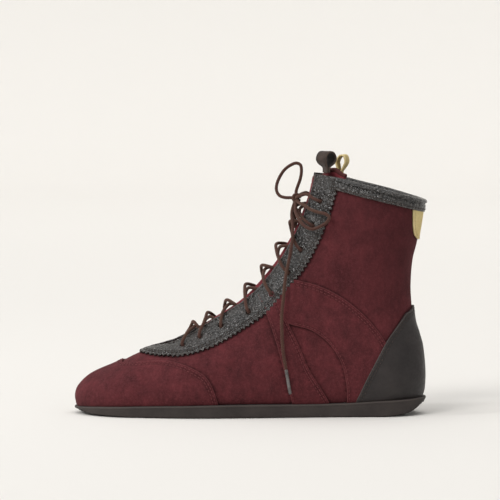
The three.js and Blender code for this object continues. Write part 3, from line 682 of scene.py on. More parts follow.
def smooth_leather():
    look = Look("smooth_leather", roughness=0.55, specular=0.36)
    pores = look.cells(0.9)
    cloud = look.noise(22, 4, 0.55)
    wrinkle = look.noise(3.2, 5, 0.6, vector=look.stretched((1, 1, 1.6)))
    base = look.blend(look.range(cloud, 0.35, 0.65), (0.0150, 0.0117, 0.0116), (0.027, 0.0214, 0.0210))
    shade = look.attribute("shade")
    base = look.blend(look.range(shade, 0.2, 1.0, 0, 0.6), base, (0.085, 0.066, 0.058))
    # Painted shade: the colour is darkened along the stitch rows, where the shade value is low.
    base = look.blend(look.range(shade, -0.15, -0.8, 0, 0.7), base, (0.006, 0.005, 0.005))
    look.colour(base)
    look.rough(look.range(wrinkle, 0.3, 0.7, 0.46, 0.64))
    look.bump((look.range(pores, 0, 0.5), 0.05), (wrinkle, 0.18))
    return look.material


def rubber():
    look = Look("sole_rubber", roughness=0.72, specular=0.4)
    cloud = look.noise(26, 4, 0.6)
    grit = look.noise(0.7, 3, 0.7)
    base = look.blend(look.range(cloud, 0.35, 0.65), (0.026, 0.020, 0.0185), (0.042, 0.033, 0.030))
    base = look.blend(look.range(look.attribute("shade"), 0.1, 1.0, 0, 0.6), base, (0.075, 0.060, 0.054))
    look.colour(base)
    look.rough(look.range(grit, 0.3, 0.7, 0.62, 0.82))
    look.bump((grit, 0.07), (cloud, 0.12))
    return look.material


def cloth(name, dark, light, pitch, roughness=0.92):
    look = Look(name, roughness=roughness, sheen=0.12, specular=0.2)
    warp = look.wave(pitch, "X")
    weft = look.wave(pitch, "Z")
    weave = look.math("MULTIPLY", warp, weft)
    fuzz = look.noise(0.9, 3, 0.7)
    cloud = look.noise(15, 3)
    share = look.math("ADD", look.math("MULTIPLY", weave, 0.6), look.math("MULTIPLY", cloud, 0.45), clamp=True)
    look.colour(look.blend(share, dark, light))
    look.bump((weave, 0.2), (fuzz, 0.12))
    return look.material


def lace_cloth():
    look = Look("lace_cord", roughness=0.88, sheen=0.25, sheen_tint=(0.75, 0.5, 0.4), specular=0.25)
    shade = look.attribute("shade")
    cloud = look.noise(9, 3)
    fuzz = look.noise(0.45, 2, 0.7)
    # Painted shade: the valleys between the braid's strands are coloured darker, the strands' tops lighter.
    base = look.blend(shade, (0.022, 0.010, 0.008), (0.088, 0.036, 0.028))
    base = look.blend(look.range(cloud, 0.4, 0.7, 0, 0.35), base, (0.075, 0.046, 0.027))
    base = look.blend(look.range(fuzz, 0.5, 0.8, 0, 0.25), base, (0.15, 0.085, 0.06))
    look.colour(base)
    look.bump((fuzz, 0.08))
    return look.material


def thread(name, dark, light):
    look = Look(name, roughness=0.72, specular=0.25)
    twist = look.noise(0.5, 2, 0.6, vector=look.stretched((1, 1, 2.2)))
    look.colour(look.blend(look.range(twist, 0.35, 0.65), dark, light))
    look.bump((twist, 0.12))
    return look.material


def plastic():
    look = Look("aglet_plastic", roughness=0.38, specular=0.5)
    cloud = look.noise(3, 3)
    look.colour(look.blend(look.range(cloud, 0.35, 0.65), (0.060, 0.054, 0.052), (0.135, 0.124, 0.12)))
    look.rough(look.range(cloud, 0.3, 0.7, 0.3, 0.5))
    look.bump((look.noise(0.9, 2), 0.03))
    return look.material


def strap_leather():
    look = Look("brown_strap", roughness=0.78, specular=0.35, sheen=0.1)
    ribs = look.wave(1.3, "Z")
    fuzz = look.noise(0.7, 3, 0.7)
    cloud = look.noise(6, 3)
    base = look.blend(look.range(cloud, 0.35, 0.65), (0.026, 0.0165, 0.0130), (0.055, 0.036, 0.028))
    shade = look.attribute("shade")
    base = look.blend(look.range(shade, 0.2, 1.0, 0, 0.5), base, (0.11, 0.075, 0.058))
    # Painted shade: the stitch grooves and the loop's inner face are darkened.
    base = look.blend(look.range(shade, -0.2, -0.7, 0, 0.85), base, (0.010, 0.007, 0.006))
    look.colour(base)
    look.bump((ribs, 0.22), (fuzz, 0.12))
    return look.material


SUEDE = suede(
    "suede", (0.047, 0.0094, 0.0115), (0.104, 0.0200, 0.0242), (0.185, 0.050, 0.056), (0.20, 0.066, 0.068), True)
TONGUE_SUEDE = suede(
    "tongue_suede", (0.115, 0.018, 0.024), (0.205, 0.032, 0.042), (0.29, 0.075, 0.085), (0.26, 0.08, 0.085))
PIPING_SUEDE = suede(
    "piping_suede", (0.040, 0.010, 0.010), (0.088, 0.023, 0.023), (0.15, 0.052, 0.050), (0.16, 0.06, 0.055))
YELLOW = suede(
    "yellow_suede", (0.52, 0.39, 0.16), (0.66, 0.53, 0.25), (0.78, 0.68, 0.42), (0.80, 0.70, 0.46))
GRAINED = grained_leather()
SMOOTH = smooth_leather()
RUBBER = rubber()
LINING_CLOTH = cloth("lining_textile", (0.022, 0.012, 0.012), (0.060, 0.030, 0.030), 0.9)
FOOTBED_CLOTH = cloth("footbed_textile", (0.028, 0.018, 0.018), (0.07, 0.05, 0.048), 1.2)
BOARD_FIBRE = cloth("board", (0.22, 0.16, 0.10), (0.40, 0.31, 0.21), 0.6)
LACE_CLOTH = lace_cloth()
RED_THREAD = thread("red_thread", (0.085, 0.016, 0.019), (0.155, 0.036, 0.040))
DARK_THREAD = thread("dark_thread", (0.012, 0.009, 0.008), (0.070, 0.052, 0.045))
PALE_THREAD = thread("pale_thread", (0.42, 0.32, 0.15), (0.72, 0.60, 0.34))
BROWN_STRAP = strap_leather()
AGLET_PLASTIC = plastic()


# ---- camera, lights and floor --------------------------------------------------------------------------------
CAMERA_LENS = 256.2
CAMERA_SHIFT = (-0.0105, 0.082)
CAMERA_PLACE_M = (0.00395, -2.722, 0.2890)
CAMERA_LOOKS_DOWN_DEG = 4.098


def camera():
    data = bpy.data.cameras.new("camera")
    data.sensor_width = 36
    data.lens = CAMERA_LENS
    data.shift_x, data.shift_y = CAMERA_SHIFT
    obj = bpy.data.objects.new("camera", data)
    obj.location = CAMERA_PLACE_M
    obj.rotation_euler = (math.radians(90 - CAMERA_LOOKS_DOWN_DEG), 0, 0)
    bpy.context.scene.collection.objects.link(obj)
    bpy.context.scene.camera = obj


def sun(name, towards, strength, spread, colour=(1, 1, 1)):
    data = bpy.data.lights.new(name, "SUN")
    data.energy = strength
    data.angle = math.radians(spread)
    data.color = colour
    obj = bpy.data.objects.new(name, data)
    obj.rotation_euler = Vector(towards).to_track_quat("-Z", "Y").to_euler()
    bpy.context.scene.collection.objects.link(obj)


def area_light(name, place_m, aim_m, size, power):
    data = bpy.data.lights.new(name, "AREA")
    data.shape = "RECTANGLE"
    data.size, data.size_y = size
    data.energy = power
    obj = bpy.data.objects.new(name, data)
    obj.location = place_m
    obj.rotation_euler = (Vector(aim_m) - obj.location).to_track_quat("-Z", "Y").to_euler()
    bpy.context.scene.collection.objects.link(obj)


def studio():
    sun("key", (0.70, 1.0, -0.95), 1.2, 26, (1, 0.985, 0.965))
    sun("top", (-0.05, 0.0, -1.0), 1.05, 55)
    sun("side", (-1.0, 0.75, -0.45), 0.10, 30, (0.96, 0.98, 1))
    sun("sparkle", (0.85, 0.30, -0.62), 0.62, 5)
    area_light("left", (-1.15, 0.05, 0.62), (0, 0, 0.12), (0.45, 0.75), 2.2)
    world = bpy.data.worlds.new("studio")
    world.use_nodes = True
    world.node_tree.nodes["Background"].inputs["Color"].default_value = (1.0, 0.99, 0.965, 1)
    world.node_tree.nodes["Background"].inputs["Strength"].default_value = 0.42
    bpy.context.scene.world = world
    bpy.context.scene.view_settings.view_transform = "Standard"


def floor():
    look = Look("studio_floor", roughness=0.9, specular=0.1)
    look.colour((0.775, 0.757, 0.728))
    half, wall, bend = 4.0, 5.0, 1.2
    profile = [(-half, 0.0)] + [
        (wall - bend + bend * math.sin(t), bend - bend * math.cos(t)) for t in np.linspace(0, math.pi / 2, 16)]
    profile.append((wall, 5.0))
    points = [(x, y, z) for y, z in profile for x in (-6.0, 6.0)]
    faces = [(2 * i, 2 * i + 1, 2 * i + 3, 2 * i + 2) for i in range(len(profile) - 1)]
    mesh = bpy.data.meshes.new("studio_floor")
    mesh.from_pydata(points, [], faces)
    mesh.materials.append(look.material)
    mesh.shade_smooth()
    obj = bpy.data.objects.new("studio_floor", mesh)
    bpy.context.scene.collection.objects.link(obj)


# ---- sole ----------------------------------------------------------------------------------------------------
SOLE_HALF_LENGTH = 135
SOLE_OVERHANG = 2.0
SOLE_BOTTOM = [
    (-135, 4.0), (-133, 3.4), (-129, 2.5), (-119, 1.2), (-100, 0.4), (-86, 0), (96, 0), (108, 0.6), (116, 1.6),
    (122, 3), (127, 5.5), (130.5, 8), (135, 10.2)]
HEEL_ROUND = 36
RIB_PITCH = 2.0
RIB_DEPTH = 0.8
sole_bottom = through(SOLE_BOTTOM)


def sole_ring(angle, inset):
    side = np.where(np.sin(angle) > 0, -1.0, 1.0)
    reach = SOLE_HALF_LENGTH - inset
    x = -reach * np.cos(angle)
    foot = np.where(side < 0, lateral_width(x), medial_width(x)) + SOLE_OVERHANG - inset
    y = side * foot * round_end((x + reach) / NOSE_LENGTH) * round_end((reach - x) / HEEL_ROUND, 2.2)
    y = np.where(np.abs(np.sin(angle)) < 1e-9, 0, y)
    return x, middle_y(x) + y


def sole_layer(name, levels, count, material, node):
    """A stack of rings, each (inset, height(x), shade), closed by strips across the foot."""
    angle = 2 * np.pi * np.arange(count) / count
    points, shade = [], []
    for inset, height, tone in levels:
        x, y = sole_ring(angle, inset)
        points.append(np.stack([x, y, height(x)], axis=1))
        shade.append(np.full(count, tone))
    faces = []
    for level in range(len(levels) - 1):
        for i in range(count):
            a, b = level * count + i, level * count + (i + 1) % count
            faces.append((a, b, b + count, a + count))
    last = (len(levels) - 1) * count
    for i in range(count // 2):
        near, far = [i, i + 1], [(count - i) % count, count - i - 1]
        ends = [near[0], far[0], far[1], near[1]] if near[0] != far[0] else [near[0], far[1], near[1]]
        if near[1] == far[1]:
            ends = [near[0], far[0], near[1]]
        faces.append(tuple(ends))
        faces.append(tuple(last + e for e in ends[::-1]))
    return make(name, np.vstack(points), faces, material, node, "boot", shade=np.concatenate(shade))


def outsole():
    def rib(x):
        return RIB_DEPTH * (0.5 + 0.5 * np.cos(2 * np.pi * x / RIB_PITCH)) ** 1.5

    def top(x):
        return feather_z(x) - GAP

    def wall(share):
        return lambda x: mix(sole_bottom(x) + 0.9, top(x) - 1.6, share)

    levels = [
        (3.4, lambda x: sole_bottom(x) + rib(x), 0.0),
        (1.6, lambda x: sole_bottom(x) + 0.1 + rib(x), 0.1),
        (0.9, lambda x: sole_bottom(x) + 0.35 + 0.9 * rib(x), 0.5),
        (0.75, lambda x: sole_bottom(x) + 1.35 + 0.5 * rib(x), 0.1),
        (0.7, wall(0.32), 0.0), (0.5, wall(0.55), 0.0), (0.3, wall(0.85), 0.0),
        (0.25, lambda x: top(x) - 1.5, 0.0), (0.0, lambda x: top(x) - 1.15, 0.4),
        (0.0, lambda x: top(x) - 0.45, 0.75), (0.35, lambda x: top(x) - 0.08, 0.9),
        (0.9, top, 0.6), (2.6, lambda x: top(x) + 0.12, 0.0)]
    count = 2100
    sole_layer("outsole_rubber", levels, count, RUBBER, "outsole")


def inner_soles():
    board = frame["nodes"]["insole_board"]
    board.data.materials.clear()
    board.data.materials.append(BOARD_FIBRE)

    def rise(height):
        return lambda x: feather_z(x) + 2.1 + height

    levels = [(12.4, rise(0.0), 0.0), (11.6, rise(1.2), 0.0), (11.4, rise(2.4), 0.1), (12.0, rise(3.2), 0.3),
              (13.5, rise(3.6), 0.0)]
    sole_layer("footbed_cover", levels, 240, FOOTBED_CLOTH, "footbed")


# ---- outlines of the upper's pieces --------------------------------------------------------------------------
def throat_angle(width, z, side=-1):
    low, high = np.zeros_like(z), np.full_like(z, np.pi / 2)
    for _ in range(36):
        middle = (low + high) / 2
        x = mix(front_x(z), back_x(z), (1 - np.cos(middle)) / 2)
        under = half_width(x, z, side) < width
        low, high = np.where(under, middle, low), np.where(under, high, middle)
    return (low + high) / 2


def along_height(line, angles, start):
    """Points at these angles whose height is line(x)."""
    z = np.full(len(angles), float(start))
    for _ in range(12):
        x = mix(front_x(z), back_x(z), (1 - np.cos(angles)) / 2)
        z = mix(z, line(x), 0.7)
    return np.stack([angles, z], axis=1)


def foot_edge(a0, a1, rise=0.0):
    return along_height(lambda x: feather_z(x) + rise, np.linspace(a0, a1, 80), 10)


def collar_edge(a0, a1, drop=0.0):
    return along_height(lambda x: collar_z(x) - drop, np.linspace(a0, a1, 80), 175)


def throat_edge(extra=0.0, top=184.3, side=-1):
    z = np.concatenate([np.linspace(49.2, 60, 16), np.linspace(62, top, 50)])
    return np.stack([throat_angle(throat_width(z) + extra, z, side), z], axis=1)


def foot_angle(x):
    z = float(feather_z(x))
    return float(on_side([(x, z)])[0, 0])


def to_foot(curve):
    """A side edge, cut off where it meets the sole."""
    x = mix(front_x(curve[:, 1]), back_x(curve[:, 1]), (1 - np.cos(curve[:, 0])) / 2)
    return curve[curve[:, 1] > feather_z(x) + 0.05]


def flipped(az, side):
    out = np.array(az, float)
    out[:, 0] *= 1 if side == "lateral" else -1
    return out


def rows_of(curve, distances, outline):
    """Stitch rows beside a curve, on the side of it that lies inside the outline."""
    sheet = to_sheet(even(np.vstack([outline, outline[:1]]), 1.5))
    rows = []
    for d in distances:
        best = max((moved(even(curve, 1.5), s * d) for s in (1, -1)),
                   key=lambda row: inside(to_sheet(row), sheet).sum())
        best = best[inside(to_sheet(best), sheet)]
        if len(best) > 3:
            rows.append(even(best, 1.5))
    return rows


def ring_at(angle, z, radius, count=14):
    centre = np.tile([[angle, z]], (count, 1))
    n = normals(centre[:, 0], centre[:, 1])
    first = np.cross(n, [0, 0, 1.0])
    first /= np.linalg.norm(first, axis=1, keepdims=True)
    second = np.cross(n, first)
    turn = 2 * np.pi * np.arange(count)[:, None] / count
    return nudged(centre, radius * (np.cos(turn) * first + np.sin(turn) * second))


EYELET_ROW = spline([(-54.4, 53.4), (-17.5, 66.9), (15.2, 92.8), (38.1, 126.7), (54.8, 163.9)], 40)
EYELET_HEIGHTS = resample(EYELET_ROW, lengths(EYELET_ROW)[-1] / (EYELET_COUNT - 1))[:, 1]
PINK_PITCH = 4.0
PINK_DEPTH = 2.1


def eyelet_rings(side, radius):
    """The outlines of one side's eyelet holes."""
    sign = -1 if side == "lateral" else 1
    half_span = np.array([float(EYELET_HALF_SPAN)])
    angles = [float(throat_angle(half_span, np.array([z]), sign)[0]) for z in EYELET_HEIGHTS]
    return [flipped(ring_at(a, z, radius), side) for a, z in zip(angles, EYELET_HEIGHTS)]


def pinked(curve, side_sign):
    """The zigzag edge that pinking shears leave."""
    points = even(curve, PINK_PITCH / 2)
    offset = np.where(np.arange(len(points)) % 2 == 0, 0.5, -0.5) * PINK_DEPTH * side_sign
    offset[0] = offset[-1] = 0
    return moved(points, offset)


# ---- the upper -----------------------------------------------------------------------------------------------
FACING_FRONT_Z = 47.2
SIDES = ("lateral", "medial")
seam_line = spline([(x + 8, z) for x, z in STRAP_FRONT], 8)[::-1]
facing_outer = spline(FACING_OUTER, 8)
facing_outer = facing_outer[facing_outer[:, 1] < collar_z(facing_outer[:, 0]) - 0.2]
facing_outer = np.vstack([on_side(facing_outer), [[0.16, 46.6]], [[0.0, FACING_FRONT_Z]]])


def quarter_split():
    """The butt seam between vamp and rear quarter, hidden under the strap and the facing."""
    low = to_foot(on_side(seam_line))
    under = on_side([(26, 104), (39, 122), (48, 140), (55, 158), (59, 172), (60, 182)])
    return np.vstack([low, under])


def overlay_edges():
    """The edges of the pieces that are sewn on top, on the lateral half."""
    lines = [facing_outer, collar_edge(0.8, np.pi, BINDING_HEIGHT + 1.6), foot_edge(0.0, np.pi, 0.4)]
    for line in (TOE_CAP_EDGE, STRAP_FRONT, STRAP_BACK, ANKLE_OUTER, ANKLE_INNER, COUNTER_EDGE, BACK_PATCH):
        lines.append(to_foot(on_side(spline(line, 8))))
    return lines


def base_pieces(side):
    """The vamp and rear quarter, and the lining under both."""
    split = quarter_split()
    ridge = np.array([[0.0, z] for z in np.linspace(7.2, 49.2, 24)])
    throat = throat_edge(0.7, 182.4, -1 if side == "lateral" else 1)
    back = [[np.pi, z] for z in np.linspace(16, 162, 60)]
    shadows = [flipped(curve, side) for curve in overlay_edges()]
    front = np.vstack([foot_edge(0.0, foot_angle(41.5)), split, throat[::-1], ridge[::-1]])
    rear = np.vstack([foot_edge(foot_angle(41.5), np.pi), back, collar_edge(np.pi, 1.0, 1.8)[1:], split[::-1]])
    whole = np.vstack([foot_edge(0.0, np.pi), back, collar_edge(np.pi, 0.9, 1.8)[1:], throat[::-1], ridge[::-1]])
    panel(f"vamp_{side}_suede", flipped(front, side), QUARTER_IN, SKIN, SUEDE, f"vamp_{side}",
          holes=eyelet_rings(side, EYELET_RADIUS + 0.4), rim=0.3, shadows=shadows)
    panel(f"rear_quarter_{side}_suede", flipped(rear, side), QUARTER_IN, SKIN, SUEDE, f"rear_quarter_{side}",
          rim=0.3, shadows=shadows)
    panel(f"lining_{side}_cloth", flipped(whole, side), LINING_IN, LINING_OUT, LINING_CLOTH, f"lining_{side}",
          rim=0.3, grid=1.9)


def facing(side):
    sign = -1 if side == "lateral" else 1
    throat = throat_edge(0.0, 184.2, sign)
    top = collar_edge(throat[-1, 0], facing_outer[0, 0])[1:-1]
    zigzag = pinked(facing_outer, 1)
    outline = np.vstack([zigzag, [[0.0, z] for z in (48.0, 48.8)], throat, top])
    plain = np.vstack([facing_outer, [[0.0, 48.8]], throat, top])
    rows = rows_of(facing_outer, (2.6, 4.2), plain) + rows_of(throat[6:], (2.2,), plain)
    rows = [flipped(r, side) for r in rows]
    panel(f"facing_{side}_leather", flipped(outline, side), OVER_IN, OVER_OUT + 0.35, GRAINED, f"facing_{side}",
          holes=eyelet_rings(side, EYELET_RADIUS), rows=rows)
    stitches(f"facing_{side}_stitches", rows, OVER_OUT + 0.38, DARK_THREAD)


def toe_cap():
    half = to_foot(np.vstack([[[0.0, 40.9]], on_side(spline(TOE_CAP_EDGE, 8))]))
    edge = np.vstack([mirrored(half)[:-1], half])
    foot = foot_edge(half[-1, 0], -half[-1, 0])
    outline = np.vstack([edge, foot])
    rows = rows_of(edge, (1.7, 3.6), outline)
    panel("toe_cap_suede", outline, OVER_IN - 0.2, OVER_OUT, SUEDE, "toe_cap", rows=rows)
    stitches("toe_cap_stitches", rows, OVER_OUT + 0.02, RED_THREAD)


def instep_strap(side):
    front = to_foot(on_side(spline(STRAP_FRONT, 8)))
    back = to_foot(on_side(spline(STRAP_BACK, 8)))
    outline = np.vstack([front, foot_edge(front[-1, 0], back[-1, 0]), back[::-1]])
    rows = [flipped(r, side) for r in rows_of(front, (1.6,), outline) + rows_of(back, (1.6, 3.2), outline)]
    panel(f"instep_strap_{side}_suede", flipped(outline, side), OVER_IN - 0.2, OVER_OUT + 0.15, SUEDE,
          f"instep_strap_{side}", rows=rows)
    stitches(f"instep_strap_{side}_stitches", rows, OVER_OUT + 0.17, RED_THREAD)


def ankle_overlay(side):
    outer = on_side(spline(ANKLE_OUTER, 8))
    inner = to_foot(on_side(spline(ANKLE_INNER, 8)))
    foot = foot_edge(inner[-1, 0], foot_angle(90))
    hidden = on_side([(29, 105), (17, 100), (19.5, 90), (22, 80), (24.5, 72.5)])
    outline = np.vstack([outer[::-1], hidden, inner, foot])
    rows = [flipped(r, side) for r in rows_of(outer, (1.7, 3.6), outline) + rows_of(inner, (1.7,), outline)]
    panel(f"ankle_overlay_{side}_suede", flipped(outline, side), OVER_IN - 0.2, OVER_OUT - 0.1, SUEDE,
          f"ankle_overlay_{side}", rows=rows)
    stitches(f"ankle_overlay_{side}_stitches", rows, OVER_OUT - 0.08, RED_THREAD)


def heel_counter():
    half = to_foot(np.vstack([[[np.pi, 83.4]], on_side(spline(COUNTER_EDGE[1:], 8))]))
    edge = np.vstack([half[::-1], mirrored(half, np.pi)[::-1][1:]])
    foot = foot_edge(2 * np.pi - half[-1, 0], half[-1, 0])
    outline = np.vstack([edge, foot])
    rows = rows_of(edge, (1.7, 3.7), outline)
    panel("heel_counter_leather", outline, OVER_IN - 0.2, OVER_OUT + 0.3, SMOOTH, "heel_counter",
          rows=rows)
    stitches("heel_counter_stitches", rows, OVER_OUT + 0.32, DARK_THREAD)


def back_patch():
    half = on_side(spline(BACK_PATCH, 6))
    half[0] = [np.pi, 133.5]
    top = collar_edge(half[-1, 0], 2 * np.pi - half[-1, 0], BINDING_HEIGHT - 1.5)
    low = np.vstack([mirrored(half, np.pi), half[1:]])
    outline = np.vstack([low, top])
    rows = rows_of(low, (1.5,), outline)
    panel("back_patch_suede", outline, OVER_IN - 0.2, OVER_OUT - 0.15, YELLOW, "back_patch",
          rows=rows)
    stitches("back_patch_stitches", rows, OVER_OUT - 0.13, PALE_THREAD)


BINDING_PROFILE = [
    (1.9, -8.2), (2.3, -7.8), (2.45, -6.8), (2.45, -3.4), (2.0, -2.7), (1.75, -2.3), (2.3, -1.8), (3.05, -1.2),
    (3.1, -0.4), (2.6, 0.5), (1.5, 1.2), (0.0, 1.5),
    (-1.6, 1.3), (-3.0, 0.5), (-3.9, -0.9), (-4.1, -2.8), (-3.75, -5.0), (-3.5, -7.6), (-3.1, -8.0)]


def binding_tone(off, rise):
    """The raw lower edge is pale; painted shade darkens the groove under the roll and the inside."""
    if rise < -7 and off > 0:
        return 0.8
    return -0.8 if off < -3 or abs(rise + 2.3) < 0.2 else 0.0


def collar_binding():
    """A rolled leather edge round the whole collar, from one side of the throat to the other."""
    start = float(facing_outer[0, 0]) - 0.02
    count = 420
    path = collar_edge(start, 2 * np.pi - start)
    path = resample(path, lengths(skin(path[:, 0], path[:, 1]))[-1] / count, by=skin(path[:, 0], path[:, 1]))
    s = lengths(skin(path[:, 0], path[:, 1]))
    rings, tones = [], []
    for off, rise in BINDING_PROFILE:
        pucker = 0.06 * np.cos(2 * np.pi * s / STITCH_PITCH) if rise < -5 else 0.0
        az = np.stack([path[:, 0], path[:, 1] + rise - 1.45], axis=1)
        rings.append(place(az, np.full(len(az), off) + pucker))
        tones.append(np.full(len(az), binding_tone(off, rise)))
    rings = np.array(rings)
    m, n = len(BINDING_PROFILE), len(path)
    faces = [(i * n + j, i * n + j + 1, ((i + 1) % m) * n + j + 1, ((i + 1) % m) * n + j)
             for i in range(m) for j in range(n - 1)]
    faces += [tuple(i * n for i in range(m)), tuple(i * n + n - 1 for i in range(m))[::-1]]
    make("collar_binding_leather", rings.reshape(-1, 3), faces, GRAINED, "collar_binding", "boot",
         shade=np.concatenate(tones))
    row = np.stack([path[:, 0], path[:, 1] - 1.45 - 6.2], axis=1)
    stitches("collar_stitches", [even(row, 1.5)], 2.5, DARK_THREAD, pitch=2.9)


# ---- tongue --------------------------------------------------------------------------------------------------
TONGUE_WIDTH = [(40, 12), (48, 19), (70, 23), (110, 25), (160, 27), (190, 29)]
TONGUE_CROWN = -0.9
TONGUE_UNDER = -7.3
TONGUE_ROLL_RADIUS = 1.8
TONGUE_TOP = [(44, 180), (48.5, 182.6), (51, 185.6), (54.5, 187.4), (60, 187.2), (68, 183.2), (90, 182.8)]
tongue_width = through(TONGUE_WIDTH)
tongue_top_z = through(TONGUE_TOP)


def tongue_surface(az):
    p = skin(az[:, 0], az[:, 1])
    y = np.abs(p[:, 1] - middle_y(p[:, 0]))
    crown = mix(TONGUE_UNDER, TONGUE_CROWN, smoothstep(53, 72, az[:, 1]))
    return mix(crown, TONGUE_UNDER, smoothstep(0, 11, y))


def tongue():
    z = np.linspace(44, 182.6, 60)
    side = throat_angle(tongue_width(z) - 0.5, z)
    edge = np.stack([side, z], axis=1)
    low = np.stack([np.linspace(-side[0], side[0], 20)[1:-1], np.full(18, 44.0)], axis=1)
    top = along_height(tongue_top_z, np.linspace(side[-1], -side[-1], 60), 185)
    outline = np.vstack([low, edge, top[1:-1], mirrored(edge)])
    rows = rows_of(top, (4.0,), outline)
    panel("tongue_suede", outline, lambda az: tongue_surface(az) - 3.2, tongue_surface, TONGUE_SUEDE, "tongue",
          rim=1.1, rows=rows)
    stitches("tongue_stitches", rows, float(np.mean(tongue_surface(rows[0]))), RED_THREAD)
    roll = place(top, tongue_surface(top) - 1.6)
    tube("tongue_piping", resample(spline(roll[::4], 8), 0.8), TONGUE_ROLL_RADIUS, PIPING_SUEDE)


# ---- pull loops ----------------------------------------------------------------------------------------------
LOOP_STRAP = 1.5
LOOP_NECK = 1.2
LATERAL_LOOP = {
    "width": 11, "opening": (4.7, 4.4), "pivot": (58, -17, 188.9), "turn": 0.3, "twist": 0.46, "lean": 0.0}
MEDIAL_LOOP = {
    "width": 10, "opening": (2.9, 4.5), "pivot": (70, 23.2, 184.9), "turn": -0.2, "twist": -0.12, "lean": 0.16}


def strap_line(across, up):
    """The middle line of a loop's strap in its own X-Z plane: up one side, over the top and down the other."""
    half = across + LOOP_STRAP / 2
    centre = LOOP_NECK + LOOP_STRAP + up
    top = centre + up + LOOP_STRAP / 2
    side = [(-0.8, -3.4), (-0.85, 0.2), (-1.5, 1.5), (-0.72 * half, centre - 0.72 * up), (-half, centre - 0.1),
            (-0.86 * half, centre + 0.55 * up), (-0.46 * half, top - 0.45)]
    return spline(side + [(0, top)] + [(-x, z) for x, z in side[::-1]], 10)


def pull_loop(name, loop, material, thread_look):
    full = strap_line(*loop["opening"])
    line = resample(full, 0.4)
    tangent = np.gradient(line, axis=0)
    tangent /= np.linalg.norm(tangent, axis=1, keepdims=True)
    out = np.stack([-tangent[:, 1], tangent[:, 0]], axis=1)
    half, thick = loop["width"] / 2, LOOP_STRAP / 2
    section = []
    for y in np.linspace(-half, half, 45):
        edge = min(1.0, (half - abs(y)) / 0.6)
        stitch = abs(abs(y) - (half - 1.5))
        groove = math.exp(-(stitch / 0.4) ** 2)
        # The shade value is higher at the worn edges and lower in the stitch grooves, where painted shade darkens
        # the colour.
        section.append((y, thick * math.sqrt(max(0.12, 1 - (1 - edge) ** 2)) - 0.14 * groove,
                        0.9 * math.exp(-(half - abs(y)) / 0.5) - 0.6 * groove))
    # Painted shade: the back face, inside the loop, gets a lower shade value, so its colour is darker.
    ring = [(y, t, s) for y, t, s in section] + [(y, -t, s - 0.7) for y, t, s in section[::-1]]
    pivot = np.array(loop["pivot"], float)

    def world(x, y, z):
        turn = loop["turn"] + loop["twist"] * float(smoothstep(-0.5, 6.5, z))
        x = x + loop["lean"] * max(z, 0)
        cos, sin = math.cos(turn), math.sin(turn)
        return pivot + np.array([cos * x - sin * y, sin * x + cos * y, z])

    points, shade = [], []
    for (x, z), (nx, nz) in zip(line, out):
        for y, t, s in ring:
            narrow = 1 - 0.10 * float(smoothstep(4, -1, z))
            points.append(world(x + nx * t, y * narrow, z + nz * t))
            shade.append(s)
    m, n = len(ring), len(line)
    faces = [(j * m + i, j * m + (i + 1) % m, (j + 1) * m + (i + 1) % m, (j + 1) * m + i)
             for j in range(n - 1) for i in range(m)]
    faces += [tuple(range(m))[::-1], tuple((n - 1) * m + i for i in range(m))]
    make(f"{name}_strap", points, faces, material, name, name, shade=shade)
    frames = []
    row = resample(full[20:-20], 2.4)
    for y in (-(half - 1.5), half - 1.5):
        for a, b in zip(row[:-1], row[1:]):
            along = (b - a) / np.linalg.norm(b - a)
            lift = thick - 0.05
            start = world(a[0] - along[1] * lift, y, a[1] + along[0] * lift)
            end = world(b[0] - along[1] * lift, y, b[1] + along[0] * lift)
            middle = (start + end) / 2
            above = world((a[0] + b[0]) / 2 - along[1] * (lift + 1), y, (a[1] + b[1]) / 2 + along[0] * (lift + 1))
            way = (end - start) / np.linalg.norm(end - start)
            up = above - middle
            up -= way * np.dot(up, way)
            frames.append((middle, way, up / np.linalg.norm(up)))
    points, faces = capsules(frames, 1.9, 0.27)
    make(f"{name}_stitches", points, faces, thread_look, None, name)


# ---- laces ---------------------------------------------------------------------------------------------------
OUTSIDE = OVER_OUT + LACE_RADIUS + 0.8
INSIDE = LINING_IN - LACE_RADIUS - 0.75
CROWN_RISE = 9.4
TOP_CROWN_RISE = 3
UNDER_CROWN = 1.6
OVER_CROWN = 5.4
KNOT_CENTRE = np.array([35.5, -1, 165.5])
KNOT_HALF_WIDTH = 4.2
BOW_LOOP_MEDIAL = [
    (34.0, -0.4, 165.4), (31.4, 0.5, 165.6), (27, 2, 165.6), (22.6, 4, 167), (20.4, 5.5, 170.6), (20.4, 6.5, 175),
    (22.6, 7.4, 181), (26.4, 8, 186.6), (31, 8, 190.2), (35.6, 7.6, 191.8), (38.6, 7, 190.4), (39.4, 6, 186),
    (38.4, 5, 179.6), (36.4, 3.4, 174), (35.4, 2.4, 170.9), (35.2, 1.0, 167.6)]
BOW_LOOP_LATERAL = [
    (35.8, -3.6, 164.2), (37, -8.6, 162.4), (40.6, -17, 161), (46.5, -25.6, 157.6), (52, -30, 155.8),
    (57, -32.8, 154.8), (59.9, -34, 152.2), (57.9, -33.8, 148.4), (53, -32.2, 145.2), (47, -30, 143.2),
    (41.4, -26, 145.4), (37, -19.6, 150.4), (34.6, -12, 156), (34.8, -6.4, 160.2), (35, -3.2, 163.4)]
TAIL_LATERAL = [
    (34.6, -1.2, 163.6), (33.4, -2.8, 160.2), (31.8, -8, 154), (32.4, -16, 146.5), (32.4, -21, 138),
    (31.2, -25, 128), (29.5, -26.6, 119), (27.5, -28.4, 109.8), (26.1, -31, 99.2), (25, -33.6, 88), (24, -35.4, 78),
    (24.1, -38, 66.1), (25.1, -39.8, 50), (27.2, -40.6, 37.5)]
